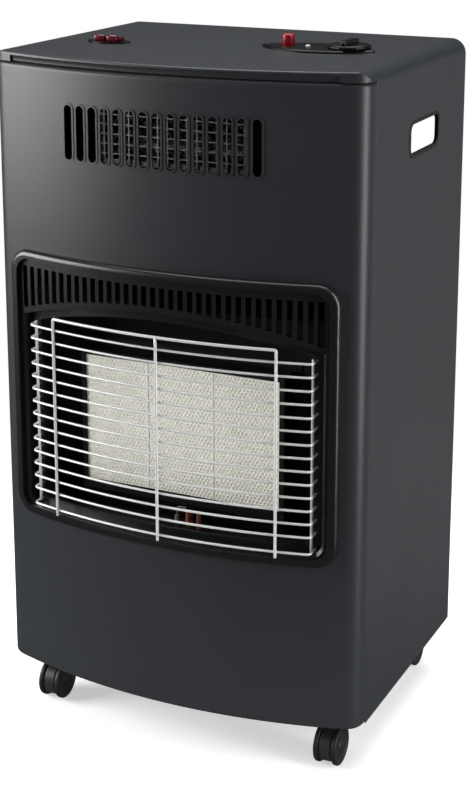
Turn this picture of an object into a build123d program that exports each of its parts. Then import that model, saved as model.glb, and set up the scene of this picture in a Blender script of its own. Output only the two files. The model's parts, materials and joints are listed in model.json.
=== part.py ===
from build123d import *
from math import atan2, cos, degrees, radians, sqrt
import os

os.makedirs("parts", exist_ok=True)

# Portable gas cabinet heater on casters. Millimetres, X to the user's right as they face the
# heater, Y from the front (negative) to the back, Z up from the floor. The origin is on the
# floor under the middle of the heater.

# Overall
width = 418.0
height = 740.0
depth = 382.0

# Clearances
fit = 0.3  # between neighbouring pieces that are fitted together
running = 0.05  # radial, shaft in bore
swing = 0.5  # between pieces that move past each other

# Sheet-metal cabinet
sheet = 1.2
thin_sheet = 1.0
skirt_z = 58.0
wrapper_depth = 270.0
fold_radius = 16.0
rear_flange = 24.0
corner_run = 20.0
corner_radius = 22.0
bow = 35.0
edge_roll = 5.0
panel_flange = 14.0
shadow_gap = 7.0
brow_lip = 2.6
brow_drop = 1.4
brow_round = 2.0
cheek_width = 26.0
seam_chamfer = 0.6

# Wire guard
wire = 2.5
upright_wire = 3.0
guard_stand = 3.5
guard_rows = 15
row_pitch = 14.0
last_row_pitch = 18.0
last_row_z = 253.0
guard_half = 161.0
guard_bend = 5.0
upright_x = 127.0
upright_top_z = 466.0
upright_bottom_z = 247.6
weld = 0.5

# Front plane of the bowed panel, worked back from the overall depth
row_proud = guard_stand + wire / 2
upright_proud = row_proud + wire / 2 + upright_wire / 2 - weld
bow_front = -depth / 2 + upright_proud + upright_wire / 2
bow_radius = ((width / 2) ** 2 + bow**2) / (2 * bow)
bow_centre = bow_front + bow_radius
corner_y = bow_front + bow
seam_y = corner_y + corner_run
rear_y = seam_y + wrapper_depth
panel_top = height - brow_drop - brow_lip - shadow_gap

# Upper outlet slots
slot_count = 15
slot_pitch = 14.95
slot_width = 9.5
slot_height = 56.0
slot_z = 664.0
slot_rim = 2.0
slot_rim_proud = 0.8

# Firebox bezel
bezel_width = 374.0
bezel_height = 296.0
bezel_z = 386.0
bezel_corner = 24.0
bezel_proud = 7.0
bezel_roll = 6.0
bezel_band = 9.0
bezel_lap = 10.0
face_proud = 2.0
face_wall = 3.0
ledge_sink = 9.0
ledge_wall = 3.0
recess_half = 170.0
recess_bottom_z = 251.0
recess_slope = 3.5
guard_hole = 3.6
opening_half = 156.0
opening_bottom_z = 257.0
arch_end_z = 463.5
arch_rise = 25.5
hood_step = 11.0
louvre_count = 34
louvre_pitch = 10.2
louvre_width = 6.0
louvre_top_z = 516.0
louvre_sill = 6.5

# Firebox liner and burner
liner_half = 166.0
liner_bottom_z = 246.0
liner_top_z = 493.0
liner_back_y = -104.0
gusset_back = 24.0
gusset_depth = 18.0
gusset_run = 26.0
gusset_rise = 17.0
burner_face_y = -134.0
burner_z = 348.5
plaque_width = 75.8
plaque_height = 143.0
plaque_thickness = 13.0
plaque_gap = 0.4
frame_border = 4.0
frame_lip = 1.6
frame_skirt = 10.0
body_depth = 25.0
body_drop = 22.0
tube_bore = 14.0
tube_wall = 1.2

# Bulkhead and gas train
bulkhead_y = -76.0
bulkhead_flange = 12.0
manifold_side = 12.0
manifold_z = 236.0
manifold_left_x = -92.0
manifold_right_x = 108.0
injector_height = 13.0
gas_pipe_diameter = 8.0
screw_shank = 4.0
gas_pipe_x = 134.0
gas_pipe_bend = 11.0
pilot_pipe_diameter = 4.0
pilot_pipe_x = 122.0
pilot_pipe_bend = 7.0
pilot_x = 12.0
pilot_y = -141.0
pilot_rise = 15.0
pilot_diameter = 9.0
thermocouple_diameter = 4.4
pipe_clear = 8.0
pilot_pipe_z = 222.0
lead_x = 146.0
lead_diameter = 2.5
electrode_diameter = 5.0
lead_z = 214.0

# Controls on the top
controls_y = -12.0
plate_x = 99.0
plate_length = 127.0
plate_width = 64.0
plate_proud = 2.6
tip_radius = 4.0
knob_x = 134.0
knob_diameter = 46.0
knob_height = 4.0
grip_height = 5.0
grip_width = 9.0
button_x = 66.0
button_diameter = 13.6
button_height = 12.0
button_travel = 6.0
lamp_x = 88.0
lamp_diameter = 5.0
spindle_diameter = 7.0
valve_diameter = 32.0
valve_length = 34.0
tail_boss = 6.0
tail_diameter = 9.0
tail_nut = 6.0
tail_barbs = 4
tail_barb = 5.0
igniter_length = 30.0
switch_x = -126.0
switch_y = -50.0
switch_plate_length = 52.0
switch_plate_width = 30.0
switch_plate_proud = 1.6
rocker_width = 12.0
rocker_length = 21.0
rocker_gap = 3.0
rocker_tilt = 10.0
rocker_rise = 9.0
rocker_stand = 4.5
rocker_sink = 1.2
housing_wall = 1.5
housing_depth = 26.0
pin_diameter = 3.0

# Hand holes in the sides
handle_length = 86.0
handle_height = 31.0
handle_radius = 8.0
handle_y = 12.0
handle_z = 656.0
grommet_wall = 1.6
grommet_lip = 1.8
grommet_lip_proud = 0.8
grommet_reach = 4.0

# Electric fan heater behind the upper slots
fan_y = -122.0
fan_radius = 25.0
fan_left_x = -74.0
fan_right_x = 90.0
blade_count = 20
blade_length = 7.0
blade_angle = 35.0
disc_count = 4
bearing_length = 5.0
blade_thickness = 0.9
disc_thickness = 1.6
shaft_diameter = 5.0
casing_wall = 1.4
casing_gap = 5.0
motor_diameter = 44.0
motor_length = 34.0
element_depth = 10.0
element_border = 5.0
ribbon_rows = 3
ribbon_width = 6.0
ribbon_thickness = 0.6
ribbon_rise = 4.5
ribbon_waves = 14
mesh_columns = 15
mesh_rows = 6
mesh_bar = 1.4

# Rear cover and its rail
cover_half = 190.0
cover_bottom_z = 62.5
cover_top_z = 574.0
cover_shoulder = 22.0
cover_slope = 34.0
cover_corner = 16.0
rail_bottom_z = 556.0
rail_height = 26.0
rail_depth = 12.0
tongue_width = 24.0
tongue_x = 120.0
tongue_drop = 7.0
sill_slot = 5.2
cover_vent_columns = 5
cover_vent_rows = 4
cover_vent_length = 36.0
cover_vent_height = 5.0

# Casters
caster_inset = 41.0  # from the cabinet's side to the stem
caster_front_y = -104.0
caster_rear_y = 108.0
caster_trail = 16.0
wheel_radius = 21.0
wheel_width = 5.2
caster_body_width = 14.0
axle_diameter = 6.0
stem_diameter = 9.0
caster_plate = 38.0
caster_plate_thickness = 2.0
socket_diameter = 17.0
socket_height = 8.0
screw_head = 7.0
screw_length = 9.0
hub_cap = 1.2
hood_wall = 3.0
hood_bottom_z = 9.0
wheel_dish = 1.5
screw_spacing = 28.0

# Cable gland in the left rear flange
gland_z = 640.0
gland_thread = 10.0
gland_head = 15.0
gland_bore = 6.5

# Base tray
tray_wall = 20.0
tray_slot_columns = 7
tray_slot_rows = 3
tray_slot_length = 34.0
tray_slot_width = 7.0
tray_slot_pitch = 45.0
seat_width = 248.0
seat_depth = 176.0
seat_corner = 24.0
seat_rise = 0.8


def bow_y(x, proud=0.0):
    """Y of the bowed front at x, a distance proud of the panel's outer face."""
    return bow_centre - sqrt((bow_radius + proud) ** 2 - x**2)


def facing(y):
    """Sketch plane at depth y that faces the front: its own x is X and its y is Z."""
    return Plane.XZ.offset(-y)


def level(z):
    """Sketch plane at height z."""
    return Plane.XY.offset(z)


def across(x):
    """Sketch plane at x that faces +X: its own x is Y and its y is Z."""
    return Plane.YZ.offset(x)


def front_outline(inset=0.0):
    """Draw the plan of the bowed front: straight returns, round corners and the arc."""
    half = width / 2 - inset
    corner = bow_y(half, -inset)
    with BuildLine() as outline:
        ThreePointArc((-half, corner), (0, bow_y(0, -inset)), (half, corner))
        Polyline((half, corner), (half, seam_y), (-half, seam_y), (-half, corner))
    face = make_face(outline.edges())
    fillet(face.vertices().group_by(Axis.Y)[0], max(corner_radius - inset, 1.0))


def bow_band(back, front, half=width / 2):
    """Draw a plan band between two arcs concentric with the front, given how far each is proud."""
    with BuildLine() as outline:
        outer = ThreePointArc(
            (-half, bow_y(half, front)), (0, bow_y(0, front)), (half, bow_y(half, front))
        )
        inner = ThreePointArc((half, bow_y(half, back)), (0, bow_y(0, back)), (-half, bow_y(half, back)))
        Line(outer @ 1, inner @ 0)
        Line(inner @ 1, outer @ 0)
    make_face(outline.edges())


def hood_profile(inset=0.0):
    """Draw the cabinet's front view: open at the skirt, with two round folds at the top."""
    rise = height - inset - skirt_z
    with Locations((0, skirt_z + rise / 2)):
        view = Rectangle(width - 2 * inset, rise)
    fillet(view.vertices().group_by(Axis.Y)[-1], max(fold_radius - inset, 1.0))


def arch_z(x, drop=0.0):
    """Height of the arch under the louvres at x, or of one a drop below it."""
    radius = (recess_half**2 + arch_rise**2) / (2 * arch_rise)
    return arch_end_z + arch_rise - drop - radius + sqrt(radius**2 - x**2)


def under_arch(half, bottom, corner, drop=0.0):
    """Draw the front view of an opening under the arch, with round lower corners."""
    with BuildLine() as outline:
        ThreePointArc((-half, arch_z(half, drop)), (0, arch_z(0, drop)), (half, arch_z(half, drop)))
        Polyline((half, arch_z(half, drop)), (half, bottom), (-half, bottom), (-half, arch_z(half, drop)))
    face = make_face(outline.edges())
    fillet(face.vertices().group_by(Axis.Y)[0], corner)


def over_arch(half, top, drop=0.0):
    """Draw the front view of the area above the arch, up to a level top."""
    with BuildLine() as outline:
        ThreePointArc((-half, arch_z(half, drop)), (0, arch_z(0, drop)), (half, arch_z(half, drop)))
        Polyline((half, arch_z(half, drop)), (half, top), (-half, top), (-half, arch_z(half, drop)))
    make_face(outline.edges())


def lens_face(length, breadth):
    """A pointed oval of two arcs, with its tips slightly rounded."""
    half = length / 2
    front = ThreePointArc((-half, 0), (0, -breadth / 2), (half, 0))
    back = ThreePointArc((half, 0), (0, breadth / 2), (-half, 0))
    face = Face(Wire([front.edge(), back.edge()]))
    return face.fillet_2d(tip_radius, face.vertices())


def save(piece, label):
    """Name a finished piece and write it."""
    piece.part.label = label
    export_step(piece.part, f"parts/{label}.step")


# ---------------------------------------------------------------------------------------------
# Cabinet: one sheet folded over the top and both sides, turned in at the back
# ---------------------------------------------------------------------------------------------
handle_hole_length = handle_length + 2 * (grommet_wall + fit)
handle_hole_height = handle_height + 2 * (grommet_wall + fit)
plate_hole_diameter = valve_diameter + 2 * swing
plate_hole_length = knob_x - button_x
rocker_pitch = rocker_width + rocker_gap
window_width = rocker_width + 2 * swing
window_length = rocker_length + 2 * swing + 1.0
housing_length = rocker_pitch + window_width + 2 * housing_wall
housing_width = window_length + 2 * housing_wall
gland_x = -width / 2 + rear_flange / 2

with BuildPart() as cabinet_wrapper:
    with BuildSketch(facing(rear_y)):
        hood_profile()
    extrude(amount=wrapper_depth)
    rim = cabinet_wrapper.faces().sort_by(Axis.Y)[0].edges()
    chamfer(rim.filter_by(lambda edge: edge.center().Z > skirt_z + 0.1), seam_chamfer)
    with BuildSketch(facing(rear_y - sheet)):
        hood_profile(sheet)
    extrude(amount=wrapper_depth, mode=Mode.SUBTRACT)
    with BuildSketch(facing(rear_y + sheet)):
        hood_profile(rear_flange)
    extrude(amount=3 * sheet, mode=Mode.SUBTRACT)
    with BuildSketch(across(-width)):
        with Locations((handle_y, handle_z)):
            RectangleRounded(handle_hole_length, handle_hole_height, handle_radius + grommet_wall + fit)
    extrude(amount=2 * width, mode=Mode.SUBTRACT)
    with BuildSketch(level(height - 2 * sheet)):
        with Locations(((knob_x + button_x) / 2, controls_y)):
            SlotCenterToCenter(plate_hole_length, plate_hole_diameter)
        with Locations((switch_x, switch_y)):
            Rectangle(housing_length + 2 * fit, housing_width + 2 * fit)
    extrude(amount=4 * sheet, mode=Mode.SUBTRACT)
    with BuildSketch(facing(rear_y + sheet)):
        with Locations((gland_x, gland_z)):
            Circle(gland_thread / 2 + fit)
    extrude(amount=3 * sheet, mode=Mode.SUBTRACT)
save(cabinet_wrapper, "cabinet_wrapper")


# Brow over the front panel: a sheet that falls slightly to a bowed lip, with a cheek each side
def brow_side(top, front):
    """Draw the side view of the space under the brow's slope."""
    with BuildLine() as outline:
        Polyline(
            (seam_y, skirt_z),
            (seam_y, top),
            (front, top - brow_drop * (seam_y - front) / (seam_y - bow_front)),
            (front, skirt_z),
            close=True,
        )
    make_face(outline.edges())


with BuildPart() as brow_hollow:
    with BuildSketch(level(skirt_z)):
        front_outline(sheet)
    extrude(amount=height)
    with BuildSketch(facing(seam_y)):
        hood_profile(sheet)
    extrude(amount=depth, mode=Mode.INTERSECT)
    with BuildSketch(across(-width)):
        brow_side(height - sheet, -depth)
    extrude(amount=2 * width, mode=Mode.INTERSECT)

with BuildPart() as top_fascia:
    with BuildSketch(level(panel_top + fit)):
        front_outline()
    extrude(amount=height)
    with BuildSketch(facing(seam_y)):
        hood_profile()
    extrude(amount=depth, mode=Mode.INTERSECT)
    with BuildSketch(across(-width)):
        brow_side(height, -depth)
    extrude(amount=2 * width, mode=Mode.INTERSECT)
    add(brow_hollow.part, mode=Mode.SUBTRACT)
    bend = top_fascia.edges().filter_by(lambda edge: edge.center().Y < bow_front + sheet / 2)
    fillet(bend.sort_by(Axis.Z)[-1], brow_round)
    # The lip hangs only brow_lip below the slope, except on the cheeks that wrap the corners
    with BuildSketch(level(skirt_z)):
        Rectangle(width - 2 * cheek_width, 2 * depth)
    extrude(amount=height - brow_drop - brow_lip - skirt_z, mode=Mode.SUBTRACT)
save(top_fascia, "top_fascia")

# Front panel: a bowed pan with rolled edges, return flanges, slots and the firebox aperture
aperture_width = bezel_width - 2 * bezel_lap
aperture_height = bezel_height - 2 * bezel_lap
aperture_corner = bezel_corner - bezel_lap / 2

with BuildPart() as panel_hollow:
    with BuildSketch(level(skirt_z + sheet)):
        front_outline(sheet)
    extrude(amount=panel_top - skirt_z - 2 * sheet)
    ends = panel_hollow.edges().group_by(Axis.Z)[0] + panel_hollow.edges().group_by(Axis.Z)[-1]
    fillet(ends.filter_by(lambda edge: edge.center().Y < seam_y - 0.1), edge_roll - sheet)

with BuildPart() as slot_rims:
    with BuildSketch(facing(corner_y)):
        with Locations((0, slot_z)):
            with GridLocations(slot_pitch, 0, slot_count, 1):
                SlotOverall(slot_height + 2 * slot_rim, slot_width + 2 * slot_rim, rotation=90)
    extrude(amount=2 * bow)
    with BuildSketch(level(skirt_z)):
        bow_band(-sheet / 2, slot_rim_proud)
    extrude(amount=height, mode=Mode.INTERSECT)

with BuildPart() as front_panel:
    with BuildSketch(level(skirt_z)):
        front_outline()
    extrude(amount=panel_top - skirt_z)
    ends = front_panel.edges().group_by(Axis.Z)[0] + front_panel.edges().group_by(Axis.Z)[-1]
    fillet(ends.filter_by(lambda edge: edge.center().Y < seam_y - 0.1), edge_roll)
    add(panel_hollow.part, mode=Mode.SUBTRACT)
    with BuildSketch(level(skirt_z - sheet)):
        front_outline(panel_flange)
    extrude(amount=height, mode=Mode.SUBTRACT)
    add(slot_rims.part)
    with BuildSketch(facing(corner_y)):
        with Locations((0, slot_z)):
            with GridLocations(slot_pitch, 0, slot_count, 1):
                SlotOverall(slot_height, slot_width, rotation=90)
        with Locations((0, bezel_z)):
            RectangleRounded(aperture_width, aperture_height, aperture_corner)
    extrude(amount=2 * bow, mode=Mode.SUBTRACT)
save(front_panel, "front_panel")

# Base tray: floor of the bottle bay, walls up the sides, vent slots and a sill for the cover
tray_z = skirt_z + sheet
tray_top_z = tray_z + sheet
tray_half = width / 2 - sheet
tray_rear_y = rear_y - sheet
cover_y = rear_y + fit
pivot_y = cover_y + sheet / 2
sill_y = pivot_y + sill_slot / 2 + 3.0
bay_y = (bulkhead_y + rear_y) / 2
tray_wall_y = bulkhead_y + bulkhead_flange + fit
caster_x = width / 2 - caster_inset
caster_places = {
    "front_left": (-caster_x, caster_front_y),
    "front_right": (caster_x, caster_front_y),
    "rear_left": (-caster_x, caster_rear_y),
    "rear_right": (caster_x, caster_rear_y),
}

with BuildPart() as base_tray:
    with BuildSketch(level(tray_z)):
        front_outline(sheet + edge_roll)
        with Locations((0, (seam_y + tray_rear_y) / 2)):
            Rectangle(2 * tray_half, tray_rear_y - seam_y)
        with Locations((0, (tray_rear_y + sill_y) / 2)):
            Rectangle(2 * (width / 2 - rear_flange - fit), sill_y - tray_rear_y)
        with Locations((-tongue_x, pivot_y), (tongue_x, pivot_y)):
            Rectangle(tongue_width + 2, sill_slot, mode=Mode.SUBTRACT)
        for x, y in caster_places.values():
            with Locations((x, y)):
                with GridLocations(screw_spacing, screw_spacing, 2, 2):
                    Circle(screw_shank / 2 + fit, mode=Mode.SUBTRACT)
    extrude(amount=sheet)
    with BuildSketch(level(tray_z)):
        for side in (-1, 1):
            with Locations((side * (tray_half - sheet / 2), (tray_wall_y + tray_rear_y) / 2)):
                Rectangle(sheet, tray_rear_y - tray_wall_y)
    extrude(amount=tray_wall)
    # The bottle's seat is pressed up out of the floor, with slots for air in and around it
    with BuildSketch(level(tray_top_z)):
        with Locations((0, bay_y)):
            RectangleRounded(seat_width, seat_depth, seat_corner)
    extrude(amount=seat_rise)
    with BuildSketch(level(tray_z)):
        with Locations((0, bay_y)):
            RectangleRounded(seat_width - 2 * sheet, seat_depth - 2 * sheet, seat_corner - sheet)
    extrude(amount=seat_rise, mode=Mode.SUBTRACT)
    with BuildSketch(level(tray_z)):
        with Locations((0, bay_y)):
            with GridLocations(
                (tray_half - tray_slot_length) * 2 / tray_slot_columns,
                tray_slot_pitch,
                tray_slot_columns,
                tray_slot_rows,
            ):
                SlotOverall(tray_slot_length, tray_slot_width)
    extrude(amount=sheet + seat_rise, mode=Mode.SUBTRACT)
save(base_tray, "base_tray")

# Bulkhead: full-height sheet between firebox and bottle bay, flanged back along the wrapper
bulkhead_front_y = bulkhead_y - sheet
pipe_y = bulkhead_y + gas_pipe_diameter / 2 + pipe_clear

with BuildPart() as bulkhead:
    with BuildSketch(facing(bulkhead_y + bulkhead_flange)):
        hood_profile(sheet)
    extrude(amount=bulkhead_flange + sheet)
    with BuildSketch(facing(bulkhead_y + bulkhead_flange)):
        hood_profile(2 * sheet)
    extrude(amount=bulkhead_flange, mode=Mode.SUBTRACT)
    with BuildSketch(level(skirt_z)):
        Rectangle(2 * width, 2 * depth)
    extrude(amount=tray_top_z - skirt_z, mode=Mode.SUBTRACT)
    with BuildSketch(facing(bulkhead_y + sheet)):
        with Locations((gas_pipe_x, manifold_z)):
            Circle(gas_pipe_diameter / 2 + 3)
        with Locations((pilot_pipe_x, pilot_pipe_z), (lead_x, lead_z)):
            Circle(pilot_pipe_diameter / 2 + 2)
    extrude(amount=3 * sheet, mode=Mode.SUBTRACT)
save(bulkhead, "bulkhead")

# ---------------------------------------------------------------------------------------------
# Firebox bezel: a bowed black surround with a raised round rim, a row of upright louvre slots
# over an arch, a sunken ledge that takes the guard's ends, and a second arch as the hood's lip
# ---------------------------------------------------------------------------------------------
face_half = louvre_pitch * louvre_count / 2
row_heights = [last_row_z] + [
    last_row_z + last_row_pitch + index * row_pitch for index in range(guard_rows - 1)
]


def on_mouth(point):
    """Whether a point lies on the front edge of the ledge recess, at its sides or its bottom."""
    within = abs(point.X) < recess_half + 0.1 and recess_bottom_z - 0.1 < point.Z < arch_end_z - 1
    near_edge = abs(point.X) > recess_half - 5 or point.Z < recess_bottom_z + 5
    return within and near_edge and point.Y < bow_y(point.X, 0) + 0.5


with BuildPart() as rim_back:  # what is cut from behind the rim, so that it laps the panel
    with BuildSketch(facing(corner_y + depth)):
        with Locations((0, bezel_z)):
            Rectangle(width, height)
            RectangleRounded(
                aperture_width - 2 * fit, aperture_height - 2 * fit, aperture_corner - fit, mode=Mode.SUBTRACT
            )
    extrude(amount=2 * depth)
    with BuildSketch(level(0)):
        bow_band(-2 * ledge_sink - ledge_wall, 0)
    extrude(amount=height, mode=Mode.INTERSECT)

with BuildPart() as face_recess:  # down to the louvre face
    with BuildSketch(facing(corner_y + depth)):
        with Locations((0, bezel_z)):
            RectangleRounded(
                bezel_width - 2 * bezel_band, bezel_height - 2 * bezel_band, bezel_corner - bezel_band + 2
            )
    extrude(amount=2 * depth)
    with BuildSketch(level(0)):
        bow_band(face_proud, 3 * bezel_proud)
    extrude(amount=height, mode=Mode.INTERSECT)

with BuildPart() as ledge_recess:  # under the arch, down to the ledge
    with BuildSketch(facing(corner_y + depth)):
        under_arch(recess_half, recess_bottom_z, 12)
    extrude(amount=2 * depth)
    with BuildSketch(level(0)):
        bow_band(-ledge_sink, 3 * bezel_proud)
    extrude(amount=height, mode=Mode.INTERSECT)

with BuildPart() as louvre_back:  # hot-air space behind the louvre face, open to the back
    with BuildSketch(facing(corner_y + depth)):
        over_arch(face_half, louvre_top_z + 2, -face_wall)
    extrude(amount=2 * depth)
    with BuildSketch(level(0)):
        bow_band(-2 * ledge_sink - ledge_wall, face_proud - face_wall)
    extrude(amount=height, mode=Mode.INTERSECT)

with BuildPart() as firebox_bezel:
    with BuildSketch(facing(corner_y + depth)):
        with Locations((0, bezel_z)):
            RectangleRounded(bezel_width, bezel_height, bezel_corner)
    extrude(amount=2 * depth)
    with BuildSketch(level(0)):
        bow_band(-ledge_sink - ledge_wall, bezel_proud)
    extrude(amount=height, mode=Mode.INTERSECT)
    fillet(firebox_bezel.faces().sort_by(Axis.Y)[0].edges(), bezel_roll)
    add(rim_back.part, mode=Mode.SUBTRACT)
    add(face_recess.part, mode=Mode.SUBTRACT)
    add(ledge_recess.part, mode=Mode.SUBTRACT)
    mouth = firebox_bezel.edges().filter_by(lambda edge: on_mouth(edge.center()))
    chamfer(mouth, recess_slope)
    add(louvre_back.part, mode=Mode.SUBTRACT)
    with BuildSketch(facing(corner_y + depth)):
        under_arch(opening_half, opening_bottom_z, 8, hood_step)
        for index in range(louvre_count):
            x = (index - (louvre_count - 1) / 2) * louvre_pitch
            bottom = arch_z(x) + louvre_sill
            with Locations((x, (bottom + louvre_top_z) / 2)):
                Rectangle(louvre_width, louvre_top_z - bottom)
        for z in row_heights:
            with Locations((-guard_half, z), (guard_half, z)):
                Rectangle(guard_hole, guard_hole)
    extrude(amount=2 * depth, mode=Mode.SUBTRACT)
save(firebox_bezel, "firebox_bezel")

# ---------------------------------------------------------------------------------------------
# Wire guard: bowed rows whose ends turn back into the bezel's ledge, held by welded uprights
# ---------------------------------------------------------------------------------------------
row_end_y = bow_y(guard_half, -ledge_sink - ledge_wall)
row_front_y = bow_y(guard_half, row_proud)
return_x = guard_half - wire / 2 - upright_wire / 2 + weld
return_y = (row_front_y + bow_y(guard_half, -ledge_sink)) / 2 + 2.0
upright_y = bow_y(upright_x, upright_proud)

with BuildPart() as wire_guard:
    for z in row_heights:
        with BuildLine(level(z)) as row:
            Line((-guard_half, row_end_y), (-guard_half, row_front_y))
            ThreePointArc((-guard_half, row_front_y), (0, bow_y(0, row_proud)), (guard_half, row_front_y))
            Line((guard_half, row_front_y), (guard_half, row_end_y))
            fillet(row.vertices().group_by(Axis.Y)[0:-1][0], guard_bend)
        with BuildSketch(Plane((-guard_half, row_end_y, z), z_dir=(0, -1, 0))):
            RegularPolygon(wire / 2, 6)
        sweep(path=row.wires()[0])
    with BuildLine(level(upright_top_z)) as top_rail:
        ThreePointArc((-upright_x, upright_y), (0, bow_y(0, upright_proud)), (upright_x, upright_y))
    with BuildSketch(Plane(top_rail.edges()[0] @ 0, z_dir=top_rail.edges()[0] % 0)):
        RegularPolygon(upright_wire / 2, 8)
    sweep(path=top_rail.wires()[0])
    with BuildSketch(level(upright_bottom_z)):
        with Locations((-upright_x, upright_y), (0, bow_y(0, upright_proud)), (upright_x, upright_y)):
            RegularPolygon(upright_wire / 2, 8)
    extrude(amount=upright_top_z - upright_bottom_z + upright_wire / 2)
    with BuildSketch(level(last_row_z)):
        with Locations((-return_x, return_y), (return_x, return_y)):
            RegularPolygon(upright_wire / 2, 8)
    extrude(amount=row_heights[-1] - last_row_z + wire)
save(wire_guard, "wire_guard")

# ---------------------------------------------------------------------------------------------
# Firebox liner: a folded box behind the bezel, open at the front, the burner hung in its back
# ---------------------------------------------------------------------------------------------
plaques_width = 3 * plaque_width + 2 * plaque_gap
plaque_pitch = plaque_width + plaque_gap
body_width = plaques_width + 2 * (frame_border - thin_sheet - fit)
body_height = plaque_height + 2 * (frame_border - thin_sheet - fit)
body_back_y = burner_face_y + plaque_thickness + body_depth
thermocouple_x = pilot_x + 14.0
thermocouple_y = pilot_y - 5.0
electrode_x = pilot_x - 14.0

with BuildPart() as firebox_liner:
    with BuildSketch(facing(liner_back_y)):
        with Locations((0, (liner_bottom_z + liner_top_z) / 2)):
            Rectangle(2 * liner_half, liner_top_z - liner_bottom_z)
    extrude(amount=depth)
    with BuildSketch(facing(liner_back_y - thin_sheet)):
        with Locations((0, (liner_bottom_z + liner_top_z) / 2)):
            Rectangle(2 * (liner_half - thin_sheet), liner_top_z - liner_bottom_z - 2 * thin_sheet)
    extrude(amount=depth, mode=Mode.SUBTRACT)
    # Gussets across the lower corners
    with BuildSketch(facing(liner_back_y - thin_sheet - gusset_back)):
        for side in (-1, 1):
            with BuildLine():
                Polyline(
                    (side * liner_half, liner_bottom_z + gusset_rise),
                    (side * (liner_half - gusset_run), liner_bottom_z),
                    (side * (liner_half - gusset_run - 2 * thin_sheet), liner_bottom_z),
                    (side * liner_half, liner_bottom_z + gusset_rise + 1.4 * thin_sheet),
                    close=True,
                )
            make_face()
    extrude(amount=gusset_depth)
    with BuildSketch(level(0)):
        bow_band(-4 * bow, -ledge_sink - ledge_wall - fit)
    extrude(amount=height, mode=Mode.INTERSECT)
    with BuildSketch(facing(liner_back_y + thin_sheet)):
        with Locations((0, burner_z)):
            Rectangle(body_width + 2 * fit, body_height + 2 * fit)
    extrude(amount=3 * thin_sheet, mode=Mode.SUBTRACT)
    with BuildSketch(level(liner_bottom_z - thin_sheet)):
        with Locations((electrode_x, pilot_y), (pilot_x, pilot_y), (thermocouple_x, thermocouple_y)):
            Circle(3.5)
    extrude(amount=3 * thin_sheet, mode=Mode.SUBTRACT)
save(firebox_liner, "firebox_liner")

# Burner: three ceramic plaques in a body of three chambers, each fed by its own mixing tube
tube_outer = tube_bore / 2 + tube_wall
tube_y = body_back_y + tube_bore / 2
tube_bottom_z = manifold_z + manifold_side / 2 + injector_height + 7.0
tube_top_z = burner_z + 20.0
hanger_y = liner_back_y - thin_sheet

with BuildPart() as burner_body:
    with BuildSketch(facing(body_back_y)):
        with Locations((0, burner_z)):
            Rectangle(body_width, body_height)
    extrude(amount=body_back_y - burner_face_y - thin_sheet)
    with BuildSketch(facing(hanger_y)):
        with Locations((0, burner_z)):
            Rectangle(body_width + 16, body_height + 16)
    extrude(amount=sheet)
    with BuildSketch(facing(burner_face_y + plaque_thickness)):
        with Locations((0, burner_z)):
            Rectangle(plaques_width + 2 * fit, plaque_height + 2 * fit)
    extrude(amount=plaque_thickness, mode=Mode.SUBTRACT)
    with BuildSketch(level(tube_bottom_z)):
        with Locations((0, tube_y)):
            with GridLocations(plaque_pitch, 0, 3, 1):
                Circle(tube_outer)
    extrude(amount=tube_top_z - tube_bottom_z)
    with BuildSketch(facing(body_back_y - sheet)):
        with Locations((0, burner_z)):
            with GridLocations(plaque_pitch, 0, 3, 1):
                Rectangle(plaque_width - 6, plaque_height - 6)
    extrude(amount=body_depth - sheet, mode=Mode.SUBTRACT)
    with BuildSketch(level(tube_bottom_z)):
        with Locations((0, tube_y)):
            with GridLocations(plaque_pitch, 0, 3, 1):
                Circle(tube_bore / 2)
    extrude(amount=tube_top_z - tube_bottom_z - sheet, mode=Mode.SUBTRACT)
    with BuildSketch(facing(tube_y)):
        with Locations((0, tube_top_z - tube_bore)):
            with GridLocations(plaque_pitch, 0, 3, 1):
                Circle(tube_bore / 2 - tube_wall)
    extrude(amount=tube_bore, mode=Mode.SUBTRACT)
save(burner_body, "burner_body")

for index, side in enumerate(("left", "centre", "right")):
    with BuildPart() as plaque:
        with BuildSketch(facing(burner_face_y + plaque_thickness)):
            with Locations(((index - 1) * plaque_pitch, burner_z)):
                Rectangle(plaque_width, plaque_height)
        extrude(amount=plaque_thickness)
        chamfer(plaque.faces().sort_by(Axis.Y)[0].edges(), 0.8)
    save(plaque, f"ceramic_plaque_{side}")

frame_front_y = burner_face_y - fit
frame_width = plaques_width + 2 * frame_border
frame_height = plaque_height + 2 * frame_border
apron_top_z = burner_z - frame_height / 2

with BuildPart() as burner_frame:
    with BuildSketch(facing(frame_front_y + frame_skirt)):
        with Locations((0, burner_z)):
            Rectangle(frame_width, frame_height)
    extrude(amount=frame_skirt + thin_sheet)
    with BuildSketch(facing(frame_front_y + frame_skirt)):
        with Locations((0, burner_z)):
            Rectangle(frame_width - 2 * thin_sheet, frame_height - 2 * thin_sheet)
    extrude(amount=frame_skirt, mode=Mode.SUBTRACT)
    with BuildSketch(facing(frame_front_y)):
        with Locations((0, burner_z)):
            Rectangle(plaques_width - 2 * frame_lip, plaque_height - 2 * frame_lip)
    extrude(amount=frame_skirt, mode=Mode.SUBTRACT)
    # Apron below the plaques, sloping back in two folds
    with BuildSketch(across(-frame_width / 2)):
        with BuildLine():
            Polyline(
                (frame_front_y - thin_sheet, apron_top_z + thin_sheet),
                (frame_front_y - thin_sheet, apron_top_z - 5),
                (frame_front_y + 5, apron_top_z - body_drop),
                (frame_front_y + 5 + thin_sheet, apron_top_z - body_drop),
                (frame_front_y, apron_top_z - 5),
                (frame_front_y, apron_top_z + thin_sheet),
                close=True,
            )
        make_face()
    extrude(amount=frame_width)
save(burner_frame, "burner_frame")

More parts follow.
